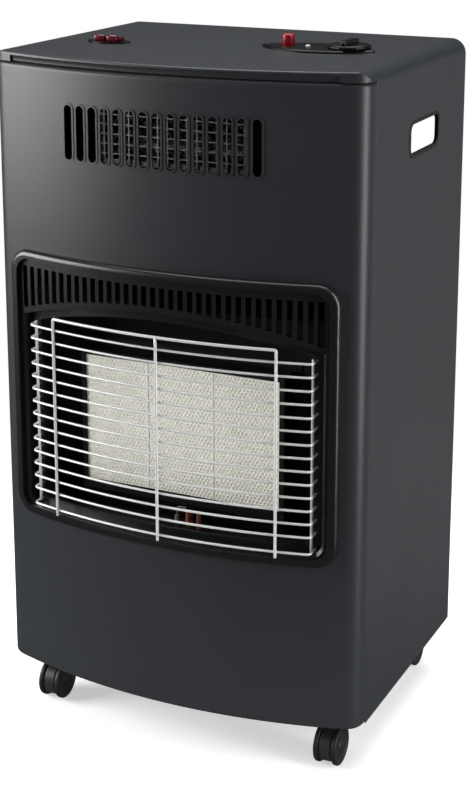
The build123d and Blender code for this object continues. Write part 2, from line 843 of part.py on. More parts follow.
# ---------------------------------------------------------------------------------------------
# Gas train: valve, pipe, manifold with three injectors, pilot with thermocouple and electrode
# ---------------------------------------------------------------------------------------------
manifold_length = manifold_right_x - manifold_left_x
foot_reach = bulkhead_front_y - fit - tube_y

with BuildPart() as gas_manifold:
    with Locations(((manifold_left_x + manifold_right_x) / 2, tube_y, manifold_z)):
        Box(manifold_length, manifold_side, manifold_side)
    for x in (-plaque_pitch / 2, plaque_pitch / 2):
        with Locations((x, tube_y + foot_reach / 2, manifold_z)):
            Box(manifold_side, foot_reach, manifold_side)
    with BuildSketch(across(manifold_left_x + thin_sheet)):
        with Locations((tube_y, manifold_z)):
            Circle(manifold_side / 2 - 2)
    extrude(amount=manifold_length, mode=Mode.SUBTRACT)
    with BuildSketch(level(manifold_z)):
        with Locations((0, tube_y)):
            with GridLocations(plaque_pitch, 0, 3, 1):
                Circle(1.5)
    extrude(amount=manifold_side, mode=Mode.SUBTRACT)
save(gas_manifold, "gas_manifold")

with BuildPart() as injectors:
    with BuildSketch(level(manifold_z + manifold_side / 2)):
        with Locations((0, tube_y)):
            with GridLocations(plaque_pitch, 0, 3, 1):
                RegularPolygon(5, 6)
    extrude(amount=injector_height / 2)
    with BuildSketch(level(manifold_z + manifold_side / 2 + injector_height / 2)):
        with Locations((0, tube_y)):
            with GridLocations(plaque_pitch, 0, 3, 1):
                Circle(4)
    extrude(amount=injector_height / 2, taper=18)
    with BuildSketch(level(manifold_z + manifold_side / 2)):
        with Locations((0, tube_y)):
            with GridLocations(plaque_pitch, 0, 3, 1):
                Circle(0.8)
    extrude(amount=injector_height, mode=Mode.SUBTRACT)
save(injectors, "injectors")

valve_top_z = height - sheet - fit
valve_front_y = controls_y - valve_diameter / 2
outlet_reach = 10.0
outlet_y = valve_front_y - outlet_reach
outlet_z = valve_top_z - 20.0
pilot_outlet_z = outlet_z - 6.0


def pipe(points, diameter, bend):
    """A rigid pipe: straight runs joined by tangent arcs."""
    path = FilletPolyline(*points, radius=bend)
    start = path @ 0
    section = Plane(start, z_dir=path % 0) * Circle(diameter / 2)
    return sweep(section, path=path)


bracket_z = liner_bottom_z + thin_sheet + fit
pilot_base_z = bracket_z + sheet + fit
gas_pipe_route = [
    (manifold_right_x, tube_y, manifold_z),
    (gas_pipe_x, tube_y, manifold_z),
    (gas_pipe_x, pipe_y, manifold_z),
    (gas_pipe_x, pipe_y, outlet_z),
    (gas_pipe_x, outlet_y, outlet_z),
]
pilot_pipe_route = [
    (pilot_x, pilot_y, pilot_base_z),
    (pilot_x, pilot_y, pilot_pipe_z),
    (pilot_pipe_x, pilot_y, pilot_pipe_z),
    (pilot_pipe_x, pipe_y, pilot_pipe_z),
    (pilot_pipe_x, pipe_y, pilot_outlet_z),
    (pilot_pipe_x, outlet_y, pilot_outlet_z),
]
lead_route = [
    (thermocouple_x, thermocouple_y, pilot_base_z),
    (thermocouple_x, thermocouple_y, lead_z),
    (lead_x, thermocouple_y, lead_z),
    (lead_x, pipe_y, lead_z),
    (lead_x, pipe_y, pilot_outlet_z),
    (lead_x, outlet_y, pilot_outlet_z),
]
gas_run = pipe(gas_pipe_route, gas_pipe_diameter, gas_pipe_bend)
pilot_run = pipe(pilot_pipe_route, pilot_pipe_diameter, pilot_pipe_bend)
lead_run = pipe(lead_route, lead_diameter, pilot_pipe_bend)

with BuildPart() as gas_pipe:
    add(gas_run)
save(gas_pipe, "gas_pipe")

with BuildPart() as pilot_pipe:
    add(pilot_run)
save(pilot_pipe, "pilot_pipe")

with BuildPart() as thermocouple:
    add(lead_run)
    with BuildSketch(level(pilot_base_z)):
        with Locations((thermocouple_x, thermocouple_y)):
            Circle(thermocouple_diameter / 2)
    extrude(amount=pilot_rise)
save(thermocouple, "thermocouple")

with BuildPart() as pilot_bracket:
    with BuildSketch(level(bracket_z)):
        with Locations((pilot_x, (pilot_y + thermocouple_y) / 2)):
            RectangleRounded(54, 18, 3)
        with Locations((pilot_x, pilot_y)):
            Circle(pilot_pipe_diameter / 2 + fit, mode=Mode.SUBTRACT)
        with Locations((thermocouple_x, thermocouple_y)):
            Circle(lead_diameter / 2 + fit, mode=Mode.SUBTRACT)
        with Locations((electrode_x, pilot_y)):
            Circle(electrode_diameter / 2 + fit, mode=Mode.SUBTRACT)
    extrude(amount=sheet)
save(pilot_bracket, "pilot_bracket")

with BuildPart() as pilot_burner:
    with BuildSketch(level(pilot_base_z)):
        with Locations((pilot_x, pilot_y)):
            RegularPolygon(pilot_diameter / 2, 6)
    extrude(amount=pilot_rise / 3)
    with BuildSketch(level(pilot_base_z + pilot_rise / 3)):
        with Locations((pilot_x, pilot_y)):
            Circle(pilot_diameter / 2 - 1)
    extrude(amount=2 * pilot_rise / 3)
    with BuildSketch(level(pilot_base_z + pilot_rise - 4)):
        with Locations((pilot_x, pilot_y)):
            Circle(pilot_diameter / 2 - 2)
            Rectangle(2 * pilot_diameter, 2)
    extrude(amount=pilot_rise, mode=Mode.SUBTRACT)
save(pilot_burner, "pilot_burner")

tip_z = pilot_base_z + pilot_rise + 3
tip_route = [
    (electrode_x, pilot_y, pilot_base_z + 7),
    (electrode_x, pilot_y, tip_z),
    (pilot_x - 3, pilot_y, tip_z),
]
tip_run = pipe(tip_route, 1.6, 3)

with BuildPart() as spark_electrode:
    with BuildSketch(level(pilot_pipe_z + 8)):
        with Locations((electrode_x, pilot_y)):
            Circle(electrode_diameter / 2)
    extrude(amount=pilot_base_z + 8 - pilot_pipe_z - 8)
    add(tip_run)
save(spark_electrode, "spark_electrode")

# ---------------------------------------------------------------------------------------------
# Controls on the top: gas tap with its knob, piezo igniter and lamp on a pointed oval plate
# ---------------------------------------------------------------------------------------------
plate_z = height + fit
plate_top_z = plate_z + plate_proud
knob_z = plate_top_z + swing
spindle_top_z = knob_z + knob_height + 1
spindle_bottom_z = valve_top_z - 20
barrel_diameter = button_diameter + 2 * fit + 4
barrel_depth = button_travel + 3

plate_face = lens_face(plate_length, plate_width)

with BuildPart() as control_plate:
    with BuildSketch(level(plate_z)):
        with Locations((plate_x, controls_y)):
            add(plate_face)
    extrude(amount=plate_proud)
    chamfer(control_plate.faces().sort_by(Axis.Z)[-1].edges(), 1.2)
    with BuildSketch(level(plate_z)):
        with Locations((knob_x, controls_y)):
            Circle(spindle_diameter / 2 + swing)
        with Locations((button_x, controls_y)):
            Circle(button_diameter / 2 + fit)
        with Locations((lamp_x, controls_y)):
            Circle(lamp_diameter / 2 + fit)
    extrude(amount=2 * plate_proud, mode=Mode.SUBTRACT)
save(control_plate, "control_plate")

with BuildPart() as control_knob:
    with BuildSketch(level(knob_z)):
        with Locations((knob_x, controls_y)):
            Circle(knob_diameter / 2)
    extrude(amount=knob_height)
    chamfer(control_knob.faces().sort_by(Axis.Z)[-1].edges(), 1.5)
    with BuildSketch(level(knob_z + knob_height)):
        with Locations((knob_x, controls_y)):
            SlotOverall(knob_diameter - 6, grip_width, rotation=90)
    extrude(amount=grip_height, taper=6)
    with BuildSketch(level(knob_z + knob_height + grip_height - 1)):
        with Locations((knob_x, controls_y - knob_diameter / 4 - 1)):
            Rectangle(1.6, knob_diameter / 2 - 8)
    extrude(amount=2, mode=Mode.SUBTRACT)
    with BuildSketch(level(knob_z)):
        with Locations((knob_x, controls_y)):
            Circle(spindle_diameter / 2 + running)
    extrude(amount=spindle_top_z - knob_z + running, mode=Mode.SUBTRACT)
save(control_knob, "control_knob")

with BuildPart() as valve_spindle:
    with BuildSketch(level(spindle_bottom_z)):
        with Locations((knob_x, controls_y)):
            Circle(spindle_diameter / 2)
    extrude(amount=spindle_top_z - spindle_bottom_z)
save(valve_spindle, "valve_spindle")

tail_z = valve_top_z - valve_length / 2
with BuildPart() as control_valve:
    with BuildSketch(level(valve_top_z - valve_length)):
        with Locations((knob_x, controls_y)):
            Circle(valve_diameter / 2)
    extrude(amount=valve_length)
    with BuildSketch(level(valve_top_z)):
        with Locations((knob_x, controls_y)):
            Circle(valve_diameter / 4 + 1)
    extrude(amount=plate_z - fit - valve_top_z)
    with BuildSketch(facing(controls_y)):
        with Locations((gas_pipe_x, outlet_z)):
            Circle(gas_pipe_diameter / 2 + 2)
        with Locations((pilot_pipe_x, pilot_outlet_z), (lead_x, pilot_outlet_z)):
            Circle(pilot_pipe_diameter / 2 + 1.6)
    extrude(amount=controls_y - outlet_y)
    with BuildSketch(facing(controls_y + valve_diameter / 2 + tail_boss)):
        with Locations((knob_x, tail_z)):
            Circle(tail_diameter / 2 + 2)
    extrude(amount=valve_diameter / 2 + tail_boss)
    with BuildSketch(level(spindle_bottom_z - fit)):
        with Locations((knob_x, controls_y)):
            Circle(spindle_diameter / 2 + running)
    extrude(amount=valve_length, mode=Mode.SUBTRACT)
save(control_valve, "control_valve")

tail_y = controls_y + valve_diameter / 2 + tail_boss
with BuildPart() as hose_tail:
    with BuildSketch(facing(tail_y + tail_nut)):
        with Locations((knob_x, tail_z)):
            RegularPolygon(tail_diameter / 2 + 3, 6)
    extrude(amount=tail_nut)
    for index in range(tail_barbs):
        with BuildSketch(facing(tail_y + tail_nut + index * tail_barb)):
            with Locations((knob_x, tail_z)):
                Circle(tail_diameter / 2)
        extrude(amount=-tail_barb, taper=8)
    with BuildSketch(facing(tail_y + tail_nut + tail_barbs * tail_barb)):
        with Locations((knob_x, tail_z)):
            Circle(tail_diameter / 4)
    extrude(amount=tail_barbs * tail_barb, mode=Mode.SUBTRACT)
save(hose_tail, "hose_tail")

with BuildPart() as piezo_igniter:
    with BuildSketch(level(plate_z - fit - igniter_length)):
        with Locations((button_x, controls_y)):
            Circle(barrel_diameter / 2)
    extrude(amount=igniter_length)
    with BuildSketch(level(plate_z - fit - igniter_length / 2)):
        with Locations((button_x, controls_y)):
            RegularPolygon(barrel_diameter / 2 + 3, 6)
    extrude(amount=4)
    with BuildSketch(level(plate_z - fit - igniter_length - 7)):
        with Locations((button_x, controls_y)):
            Circle(2.4)
    extrude(amount=8)
    with BuildSketch(level(plate_z - fit - barrel_depth)):
        with Locations((button_x, controls_y)):
            Circle(button_diameter / 2 + fit)
    extrude(amount=2 * barrel_depth, mode=Mode.SUBTRACT)
save(piezo_igniter, "piezo_igniter")

with BuildPart() as piezo_button:
    with BuildSketch(level(plate_z)):
        with Locations((button_x, controls_y)):
            Circle(button_diameter / 2)
    extrude(amount=plate_proud + button_height)
    fillet(piezo_button.faces().sort_by(Axis.Z)[-1].edges(), 2.0)
save(piezo_button, "piezo_button")

with BuildPart() as indicator_lamp:
    with BuildSketch(level(plate_z - 6)):
        with Locations((lamp_x, controls_y)):
            Circle(lamp_diameter / 2)
    extrude(amount=plate_proud + 7.5)
    fillet(indicator_lamp.faces().sort_by(Axis.Z)[-1].edges(), 1.4)
save(indicator_lamp, "indicator_lamp")

# Two rocker switches in one housing under a pointed plate
rocker_pivot_z = plate_z + switch_plate_proud + rocker_stand - rocker_rise + rocker_sink
rocker_x = (switch_x - rocker_pitch / 2, switch_x + rocker_pitch / 2)

switch_face = lens_face(switch_plate_length, switch_plate_width)

with BuildPart() as switch_plate:
    with BuildSketch(level(plate_z)):
        with Locations((switch_x, switch_y)):
            add(switch_face)
        for x in rocker_x:
            with Locations((x, switch_y)):
                Rectangle(window_width, window_length, mode=Mode.SUBTRACT)
    extrude(amount=switch_plate_proud)
save(switch_plate, "switch_plate")

with BuildPart() as switch_housing:
    with BuildSketch(level(plate_z - fit - housing_depth)):
        with Locations((switch_x, switch_y)):
            Rectangle(housing_length, housing_width)
    extrude(amount=housing_depth)
    with BuildSketch(level(rocker_pivot_z - rocker_length / 2)):
        for x in rocker_x:
            with Locations((x, switch_y)):
                Rectangle(window_width, window_length)
    extrude(amount=rocker_length, mode=Mode.SUBTRACT)
    with BuildSketch(across(switch_x - housing_length / 2)):
        with Locations((switch_y, rocker_pivot_z)):
            Circle(pin_diameter / 2)
    extrude(amount=housing_length)
    with BuildSketch(level(plate_z - fit - housing_depth - 7)):
        for x in rocker_x:
            with Locations((x, switch_y)):
                with GridLocations(0, rocker_length / 2, 1, 2):
                    Rectangle(6.3, 0.8)
    extrude(amount=8)
save(switch_housing, "switch_housing")

for x, side in zip(rocker_x, ("left", "right")):
    with BuildPart() as rocker:
        with BuildSketch(across(x - rocker_width / 2)):
            with BuildLine():
                Polyline(
                    (-rocker_length / 2, rocker_rise),
                    (0, rocker_rise - rocker_sink),
                    (rocker_length / 2, rocker_rise),
                    (rocker_length / 2 - 1, -1),
                    (4, -4),
                    (-4, -4),
                    (-rocker_length / 2 + 1, -1),
                    close=True,
                )
            make_face()
            Circle(pin_diameter / 2 + running, mode=Mode.SUBTRACT)
        extrude(amount=rocker_width)
    tilted = rocker.part.rotate(Axis.X, -rocker_tilt).translate((0, switch_y, rocker_pivot_z))
    tilted.label = f"rocker_switch_{side}"
    export_step(tilted, f"parts/rocker_switch_{side}.step")

# ---------------------------------------------------------------------------------------------
# Electric fan heater behind the upper slots: drum fan, motor, element and outlet mesh
# ---------------------------------------------------------------------------------------------
casing_radius = fan_radius + casing_gap
fan_z = slot_z
element_back_y = fan_y - casing_radius - fit
element_front_y = element_back_y - element_depth
outlet_half = slot_height / 2
element_half = outlet_half + element_border / 2
casing_foot = bulkhead_front_y - fit - (fan_y + casing_radius)
drum_left_x = fan_left_x + casing_wall + 1
drum_right_x = fan_right_x - casing_wall - 1
fan_centre_x = (fan_left_x + fan_right_x) / 2
fan_length = fan_right_x - fan_left_x


def casing_view(inset):
    """Draw the casing's side view: a straight duct to the front, wrapped round the drum."""
    radius = casing_radius - inset
    with BuildLine() as outline:
        top = Line(
            (fan_y - casing_radius - inset, fan_z + outlet_half - inset / 2), (fan_y, fan_z + radius)
        )
        back = ThreePointArc(top @ 1, (fan_y + radius, fan_z), (fan_y, fan_z - radius))
        bottom = Line(back @ 1, (fan_y - casing_radius - inset, fan_z - outlet_half + inset / 2))
        Line(bottom @ 1, top @ 0)
    make_face(outline.edges())


with BuildPart() as fan_housing:
    with BuildSketch(across(fan_left_x)):
        casing_view(0)
    extrude(amount=fan_length)
    with BuildSketch(across(fan_left_x + casing_wall)):
        casing_view(casing_wall)
    extrude(amount=fan_length - 2 * casing_wall, mode=Mode.SUBTRACT)
    # Air inlet along the lower back, mouth at the front
    with BuildSketch(level(fan_z - 2 * casing_radius)):
        with Locations((fan_centre_x, fan_y + casing_radius / 2)):
            Rectangle(fan_length - 2 * casing_wall, casing_radius)
    extrude(amount=1.6 * casing_radius, mode=Mode.SUBTRACT)
    with BuildSketch(facing(fan_y - fan_radius)):
        with Locations((fan_centre_x, fan_z)):
            Rectangle(fan_length - 2 * casing_wall, 2 * outlet_half - 2 * casing_wall)
    extrude(amount=fan_radius, mode=Mode.SUBTRACT)
    for x in (fan_left_x + 20, fan_right_x - 20):
        with Locations((x, fan_y + casing_radius + (casing_foot - casing_wall) / 2, fan_z)):
            Box(14, casing_foot + casing_wall, 20)
    with BuildSketch(across(fan_left_x - bearing_length)):
        with Locations((fan_y, fan_z)):
            Circle(shaft_diameter)
    extrude(amount=bearing_length + casing_wall)
    with BuildSketch(across(fan_left_x - bearing_length + 1)):
        with Locations((fan_y, fan_z)):
            Circle(shaft_diameter / 2 + running)
    extrude(amount=2 * fan_length, mode=Mode.SUBTRACT)
save(fan_housing, "fan_housing")

with BuildPart() as fan_impeller:
    with BuildSketch(across(drum_left_x)):
        with Locations((fan_y, fan_z)):
            with PolarLocations(fan_radius - blade_length / 2 - 0.6, blade_count):
                Rectangle(blade_length, blade_thickness, rotation=blade_angle)
    extrude(amount=drum_right_x - drum_left_x)
    for index in range(disc_count):
        step = (drum_right_x - drum_left_x - disc_thickness) / (disc_count - 1)
        with BuildSketch(across(drum_left_x + index * step)):
            with Locations((fan_y, fan_z)):
                Circle(fan_radius)
        extrude(amount=disc_thickness)
    with BuildSketch(across(fan_left_x - bearing_length + 1 + fit)):
        with Locations((fan_y, fan_z)):
            Circle(shaft_diameter / 2)
    extrude(amount=fan_length + bearing_length + motor_length / 2)
save(fan_impeller, "fan_impeller")

with BuildPart() as fan_motor:
    with BuildSketch(across(fan_right_x + fit)):
        with Locations((fan_y, fan_z)):
            RectangleRounded(motor_diameter, motor_diameter, 6)
    extrude(amount=motor_length / 2)
    with BuildSketch(across(fan_right_x + fit)):
        with Locations((fan_y, fan_z)):
            Circle(motor_diameter / 2 - 4)
    extrude(amount=motor_length)
    with BuildSketch(across(fan_right_x)):
        with Locations((fan_y, fan_z)):
            Circle(shaft_diameter / 2 + running)
    extrude(amount=motor_length / 2 + 2 * fit + 2, mode=Mode.SUBTRACT)
save(fan_motor, "fan_motor")

ribbon_span = fan_length - 2 * element_border
with BuildPart() as heater_element:
    with BuildSketch(facing(element_back_y)):
        with Locations((fan_centre_x, fan_z)):
            Rectangle(fan_length, 2 * element_half)
            Rectangle(ribbon_span, 2 * (element_half - element_border), mode=Mode.SUBTRACT)
    extrude(amount=element_depth)
    for row in range(ribbon_rows):
        row_z = fan_z + (row - (ribbon_rows - 1) / 2) * 2 * element_half / (ribbon_rows + 1)
        step = ribbon_span / ribbon_waves / 2
        points = [
            (
                fan_centre_x - ribbon_span / 2 + index * step,
                row_z + (ribbon_rise if index % 2 else -ribbon_rise),
            )
            for index in range(2 * ribbon_waves + 1)
        ]
        outline = points + [(x, z + ribbon_thickness) for x, z in reversed(points)]
        with BuildSketch(facing(element_back_y - (element_depth - ribbon_width) / 2)):
            with BuildLine() as zigzag:
                Polyline(*outline, close=True)
            make_face(zigzag.edges())
        extrude(amount=ribbon_width)
save(heater_element, "heater_element")

with BuildPart() as outlet_mesh:
    with BuildSketch(facing(element_front_y - fit)):
        with Locations((fan_centre_x, fan_z)):
            Rectangle(fan_length, 2 * element_half)
            with GridLocations(
                (fan_length - mesh_bar) / mesh_columns,
                (2 * element_half - mesh_bar) / mesh_rows,
                mesh_columns,
                mesh_rows,
            ):
                Rectangle(
                    (fan_length - mesh_bar) / mesh_columns - mesh_bar,
                    (2 * element_half - mesh_bar) / mesh_rows - mesh_bar,
                    mode=Mode.SUBTRACT,
                )
    extrude(amount=mesh_bar)
save(outlet_mesh, "outlet_mesh")

# ---------------------------------------------------------------------------------------------
# Hand-hole trims, rear rail, lift-off rear cover and cable gland
# ---------------------------------------------------------------------------------------------
for side, name in ((-1, "left"), (1, "right")):
    outer_x = side * (width / 2 + fit)
    inner_x = side * (width / 2 - grommet_reach)
    base_x = min(outer_x, inner_x)
    with BuildPart() as grommet:
        with BuildSketch(across(base_x)):
            with Locations((handle_y, handle_z)):
                RectangleRounded(
                    handle_length + 2 * grommet_wall,
                    handle_height + 2 * grommet_wall,
                    handle_radius + grommet_wall,
                )
        extrude(amount=abs(outer_x - inner_x))
        with BuildSketch(across(min(outer_x, outer_x + side * grommet_lip_proud))):
            with Locations((handle_y, handle_z)):
                RectangleRounded(
                    handle_hole_length + 2 * grommet_lip,
                    handle_hole_height + 2 * grommet_lip,
                    handle_radius + grommet_wall + grommet_lip,
                )
        extrude(amount=grommet_lip_proud)
        with BuildSketch(across(-width)):
            with Locations((handle_y, handle_z)):
                RectangleRounded(handle_length, handle_height, handle_radius)
        extrude(amount=2 * width, mode=Mode.SUBTRACT)
    save(grommet, f"handle_grip_{name}")

rail_half = width / 2 - sheet - fit
rail_back_y = rear_y - sheet - fit
with BuildPart() as rear_rail:
    with BuildSketch(across(-rail_half)):
        with Locations((rail_back_y - rail_depth / 2, rail_bottom_z + rail_height / 2)):
            Rectangle(rail_depth, rail_height)
        with Locations((rail_back_y - rail_depth / 2 - sheet, rail_bottom_z + rail_height / 2)):
            Rectangle(rail_depth, rail_height - 2 * sheet, mode=Mode.SUBTRACT)
    extrude(amount=2 * rail_half)
save(rear_rail, "rear_rail")

cover_height = cover_top_z - cover_bottom_z
cover_z = (cover_top_z + cover_bottom_z) / 2
bulge_depth = depth / 2 - cover_y
bulge_taper = degrees(atan2(cover_slope, bulge_depth))
bulge_width = 2 * (cover_half - cover_shoulder)
bulge_height = cover_height - 2 * cover_shoulder
bulge_inset = sheet / cos(radians(bulge_taper))
bulge_corner = cover_slope + cover_corner / 2

with BuildPart() as rear_cover:
    with BuildSketch(facing(cover_y + sheet)):
        with Locations((0, cover_z)):
            RectangleRounded(2 * cover_half, cover_height, cover_corner)
    extrude(amount=sheet)
    with BuildSketch(facing(cover_y)):
        with Locations((0, cover_z)):
            RectangleRounded(bulge_width, bulge_height, bulge_corner)
    extrude(amount=-bulge_depth, taper=bulge_taper)
    with BuildSketch(facing(cover_y)):
        with Locations((0, cover_z)):
            RectangleRounded(
                bulge_width - 2 * bulge_inset, bulge_height - 2 * bulge_inset, bulge_corner - bulge_inset
            )
    extrude(amount=-(bulge_depth - sheet), taper=bulge_taper, mode=Mode.SUBTRACT)
    with BuildSketch(facing(cover_y + sheet)):
        for side in (-1, 1):
            with Locations((side * tongue_x, cover_bottom_z - tongue_drop / 2)):
                Rectangle(tongue_width, tongue_drop + 2)
    extrude(amount=sheet)
    with BuildSketch(facing(depth)):
        with Locations((0, cover_z - bulge_height / 5)):
            with GridLocations(
                cover_vent_length * 1.3, cover_vent_height * 3, cover_vent_columns, cover_vent_rows
            ):
                SlotOverall(cover_vent_length, cover_vent_height)
    extrude(amount=depth - cover_y - bulge_depth / 2, mode=Mode.SUBTRACT)
save(rear_cover, "rear_cover")

with BuildPart() as cable_gland:
    with BuildSketch(facing(rear_y + fit + 4)):
        with Locations((gland_x, gland_z)):
            RegularPolygon(gland_head / 2, 6)
    extrude(amount=4)
    with BuildSketch(facing(rear_y + fit + 4)):
        with Locations((gland_x, gland_z)):
            Circle(gland_thread / 2 + 1)
    extrude(amount=-8, taper=12)
    with BuildSketch(facing(rear_y + fit)):
        with Locations((gland_x, gland_z)):
            Circle(gland_thread / 2)
    extrude(amount=sheet + 10)
    with BuildSketch(facing(rear_y + 2 * gland_head)):
        with Locations((gland_x, gland_z)):
            Circle(gland_bore / 2)
    extrude(amount=4 * gland_head, mode=Mode.SUBTRACT)
save(cable_gland, "cable_gland")

# ---------------------------------------------------------------------------------------------
# Casters: a plate with a socket, a swivelling hood with its axle, and a wheel each side
# ---------------------------------------------------------------------------------------------
plate_high_z = tray_z - fit
plate_low_z = plate_high_z - caster_plate_thickness
socket_z = plate_low_z - socket_height
hood_top_z = socket_z - swing
wheel_inner = caster_body_width / 2 + swing
axle_half = wheel_inner + wheel_width - hub_cap - running

with BuildPart() as caster_screws:
    for x, y in caster_places.values():
        with BuildSketch(level(plate_low_z - fit - 2.4)):
            with Locations((x, y)):
                with GridLocations(screw_spacing, screw_spacing, 2, 2):
                    RegularPolygon(screw_head / 2, 6)
        extrude(amount=2.4)
        with BuildSketch(level(plate_low_z - fit)):
            with Locations((x, y)):
                with GridLocations(screw_spacing, screw_spacing, 2, 2):
                    Circle(screw_shank / 2)
        extrude(amount=screw_length)
save(caster_screws, "caster_screws")

for name, (x, y) in caster_places.items():
    axle_y = y + (caster_trail if y > 0 else -caster_trail)
    with BuildPart() as caster_plate_piece:
        with BuildSketch(level(plate_low_z)):
            with Locations((x, y)):
                RectangleRounded(caster_plate, caster_plate, 5)
                with GridLocations(screw_spacing, screw_spacing, 2, 2):
                    Circle(screw_shank / 2 + fit, mode=Mode.SUBTRACT)
        extrude(amount=caster_plate_thickness)
        with BuildSketch(level(socket_z)):
            with Locations((x, y)):
                Circle(socket_diameter / 2)
        extrude(amount=socket_height)
        with BuildSketch(level(socket_z)):
            with Locations((x, y)):
                Circle(stem_diameter / 2 + running)
        extrude(amount=socket_height + caster_plate_thickness / 2, mode=Mode.SUBTRACT)
    save(caster_plate_piece, f"caster_{name}_plate")

    with BuildPart() as hood:
        with BuildSketch(across(x - caster_body_width / 2)):
            with Locations((axle_y, wheel_radius)):
                Circle(wheel_radius - 1.5)
            with Locations((y, (wheel_radius + hood_top_z) / 2)):
                Rectangle(socket_diameter, hood_top_z - wheel_radius)
            make_hull()
        extrude(amount=caster_body_width)
        fillet(hood.faces().filter_by(Axis.X).edges(), 2)
        with BuildSketch(across(x - caster_body_width / 2 + hood_wall)):
            with Locations((axle_y, wheel_radius)):
                Circle(wheel_radius - 1.5 - hood_wall)
        extrude(amount=caster_body_width - 2 * hood_wall, mode=Mode.SUBTRACT)
        with BuildSketch(level(0)):
            with Locations((x, y)):
                Rectangle(4 * wheel_radius, 4 * wheel_radius)
        extrude(amount=hood_bottom_z, mode=Mode.SUBTRACT)
        with BuildSketch(across(x - axle_half)):
            with Locations((axle_y, wheel_radius)):
                Circle(axle_diameter / 2)
        extrude(amount=2 * axle_half)
        with BuildSketch(level(hood_top_z - 1)):
            with Locations((x, y)):
                Circle(stem_diameter / 2)
        extrude(amount=1 + swing + socket_height + caster_plate_thickness / 2 - fit)
    save(hood, f"caster_{name}_hood")

    for side, hand in ((-1, "left"), (1, "right")):
        with BuildPart() as wheel:
            outward = Plane((x + side * wheel_inner, axle_y, wheel_radius), z_dir=(side, 0, 0))
            with BuildSketch(outward):
                Circle(wheel_radius)
            extrude(amount=wheel_width)
            chamfer(wheel.edges().filter_by(GeomType.CIRCLE), 0.8)
            with BuildSketch(outward.offset(wheel_width - wheel_dish)):
                Circle(wheel_radius - 4)
                Circle(axle_diameter, mode=Mode.SUBTRACT)
            extrude(amount=wheel_dish, mode=Mode.SUBTRACT)
            with BuildSketch(outward):
                Circle(axle_diameter / 2 + running)
            extrude(amount=wheel_width - hub_cap, mode=Mode.SUBTRACT)
        save(wheel, f"caster_{name}_wheel_{hand}")
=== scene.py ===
import json
import math

import bpy
import numpy as np
from bpy.props import FloatProperty, FloatVectorProperty, IntProperty, PointerProperty
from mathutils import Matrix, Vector


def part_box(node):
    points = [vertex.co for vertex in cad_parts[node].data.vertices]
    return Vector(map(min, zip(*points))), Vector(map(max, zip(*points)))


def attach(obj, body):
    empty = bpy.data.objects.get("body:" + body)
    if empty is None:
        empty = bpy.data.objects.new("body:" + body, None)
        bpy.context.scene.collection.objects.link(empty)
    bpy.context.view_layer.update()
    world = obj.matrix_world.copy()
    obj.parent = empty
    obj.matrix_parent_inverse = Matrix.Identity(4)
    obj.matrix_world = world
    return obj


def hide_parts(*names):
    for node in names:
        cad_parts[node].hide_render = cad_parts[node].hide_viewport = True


bl_info = {
    "name": "Portable gas cabinet heater",
    "version": (1, 0, 0),
    "blender": (4, 5, 0),
    "location": "View3D > Sidebar > Heater",
    "description": "Adds the guard, plaques, trims, brow edge, controls and wheels, and dresses the cabinet",
    "category": "Add Mesh",
}

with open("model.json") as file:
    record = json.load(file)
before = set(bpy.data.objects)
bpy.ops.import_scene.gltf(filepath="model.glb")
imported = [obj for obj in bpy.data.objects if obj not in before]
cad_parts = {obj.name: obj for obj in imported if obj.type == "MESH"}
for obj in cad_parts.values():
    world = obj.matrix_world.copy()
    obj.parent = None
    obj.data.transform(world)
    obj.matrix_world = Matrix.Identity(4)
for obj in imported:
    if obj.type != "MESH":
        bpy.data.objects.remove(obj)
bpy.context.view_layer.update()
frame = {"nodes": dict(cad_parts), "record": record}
NODES = frame["nodes"]

MM = 0.001
IMAGE_WIDTH, IMAGE_HEIGHT = 470, 800

# The stage, in metres and watts. Each lamp has its place, the point that it faces, its width, its
# height and its power.
AIM = (-0.0046, 0.0075, 0.5229)
LAMPS = {
    "key_left": ((-1.75, -1.0, 0.95), (0, -0.1, 0.7), 1.3, 1.3, 58),
    "strip_right": ((1.8, -0.3, 0.7), (0, -0.1, 0.5), 0.35, 1.9, 30),
    "back_right": ((1.3, 1.9, 0.0), (0.2, 0, 0.2), 1.4, 1.8, 2.2),
    "overhead": ((0, 0.3, 2.4), (0, 0.1, 0.4), 2.4, 2.0, 66),
}
FLOOR_REACH = 1.0
FLOOR_LINES = 9
FLOOR_DROP = 0.0002
FLOOR_GLOW = 0.5

DUST_COLOUR = (0.42, 0.41, 0.39)
COAT_ROUGHNESS = 0.2
ROUGHNESS_SPREAD = 0.06
KNOB_FLUTES = 24


def low(node):
    """Lowest corner of a CAD node, in millimetres."""
    return np.array(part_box(node)[0]) / MM


def high(node):
    """Highest corner of a CAD node, in millimetres."""
    return np.array(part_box(node)[1]) / MM


# Plan of the bowed front, as in the CAD: an arc with this rise over the cabinet's width
BOW_RISE = 35.0
HALF_WIDTH = high("cabinet_wrapper")[0]
BOW_RADIUS = (HALF_WIDTH**2 + BOW_RISE**2) / (2 * BOW_RISE)
BOW_CENTRE = low("front_panel")[1] + BOW_RADIUS


def bow_y(x, proud=0.0):
    """Depth of the bow at x: the arc's centre less the root of (radius + proud) squared less x squared."""
    return BOW_CENTRE - np.sqrt((BOW_RADIUS + proud) ** 2 - np.square(x))


# ---------------------------------------------------------------------------------------------
# Surfaces from arrays
# ---------------------------------------------------------------------------------------------
def grid_quads(rows, columns, wrap_rows=False, wrap_columns=False):
    """Faces of a grid of points: point (i, j) is i * columns + j, and each face joins four neighbours."""
    i = np.arange(rows if wrap_rows else rows - 1)
    j = np.arange(columns if wrap_columns else columns - 1)
    i, j = (part.ravel() for part in np.meshgrid(i, j, indexing="ij"))
    next_i, next_j = (i + 1) % rows, (j + 1) % columns
    corners = (i * columns + j, next_i * columns + j, next_i * columns + next_j, i * columns + next_j)
    return np.stack(corners, axis=1)


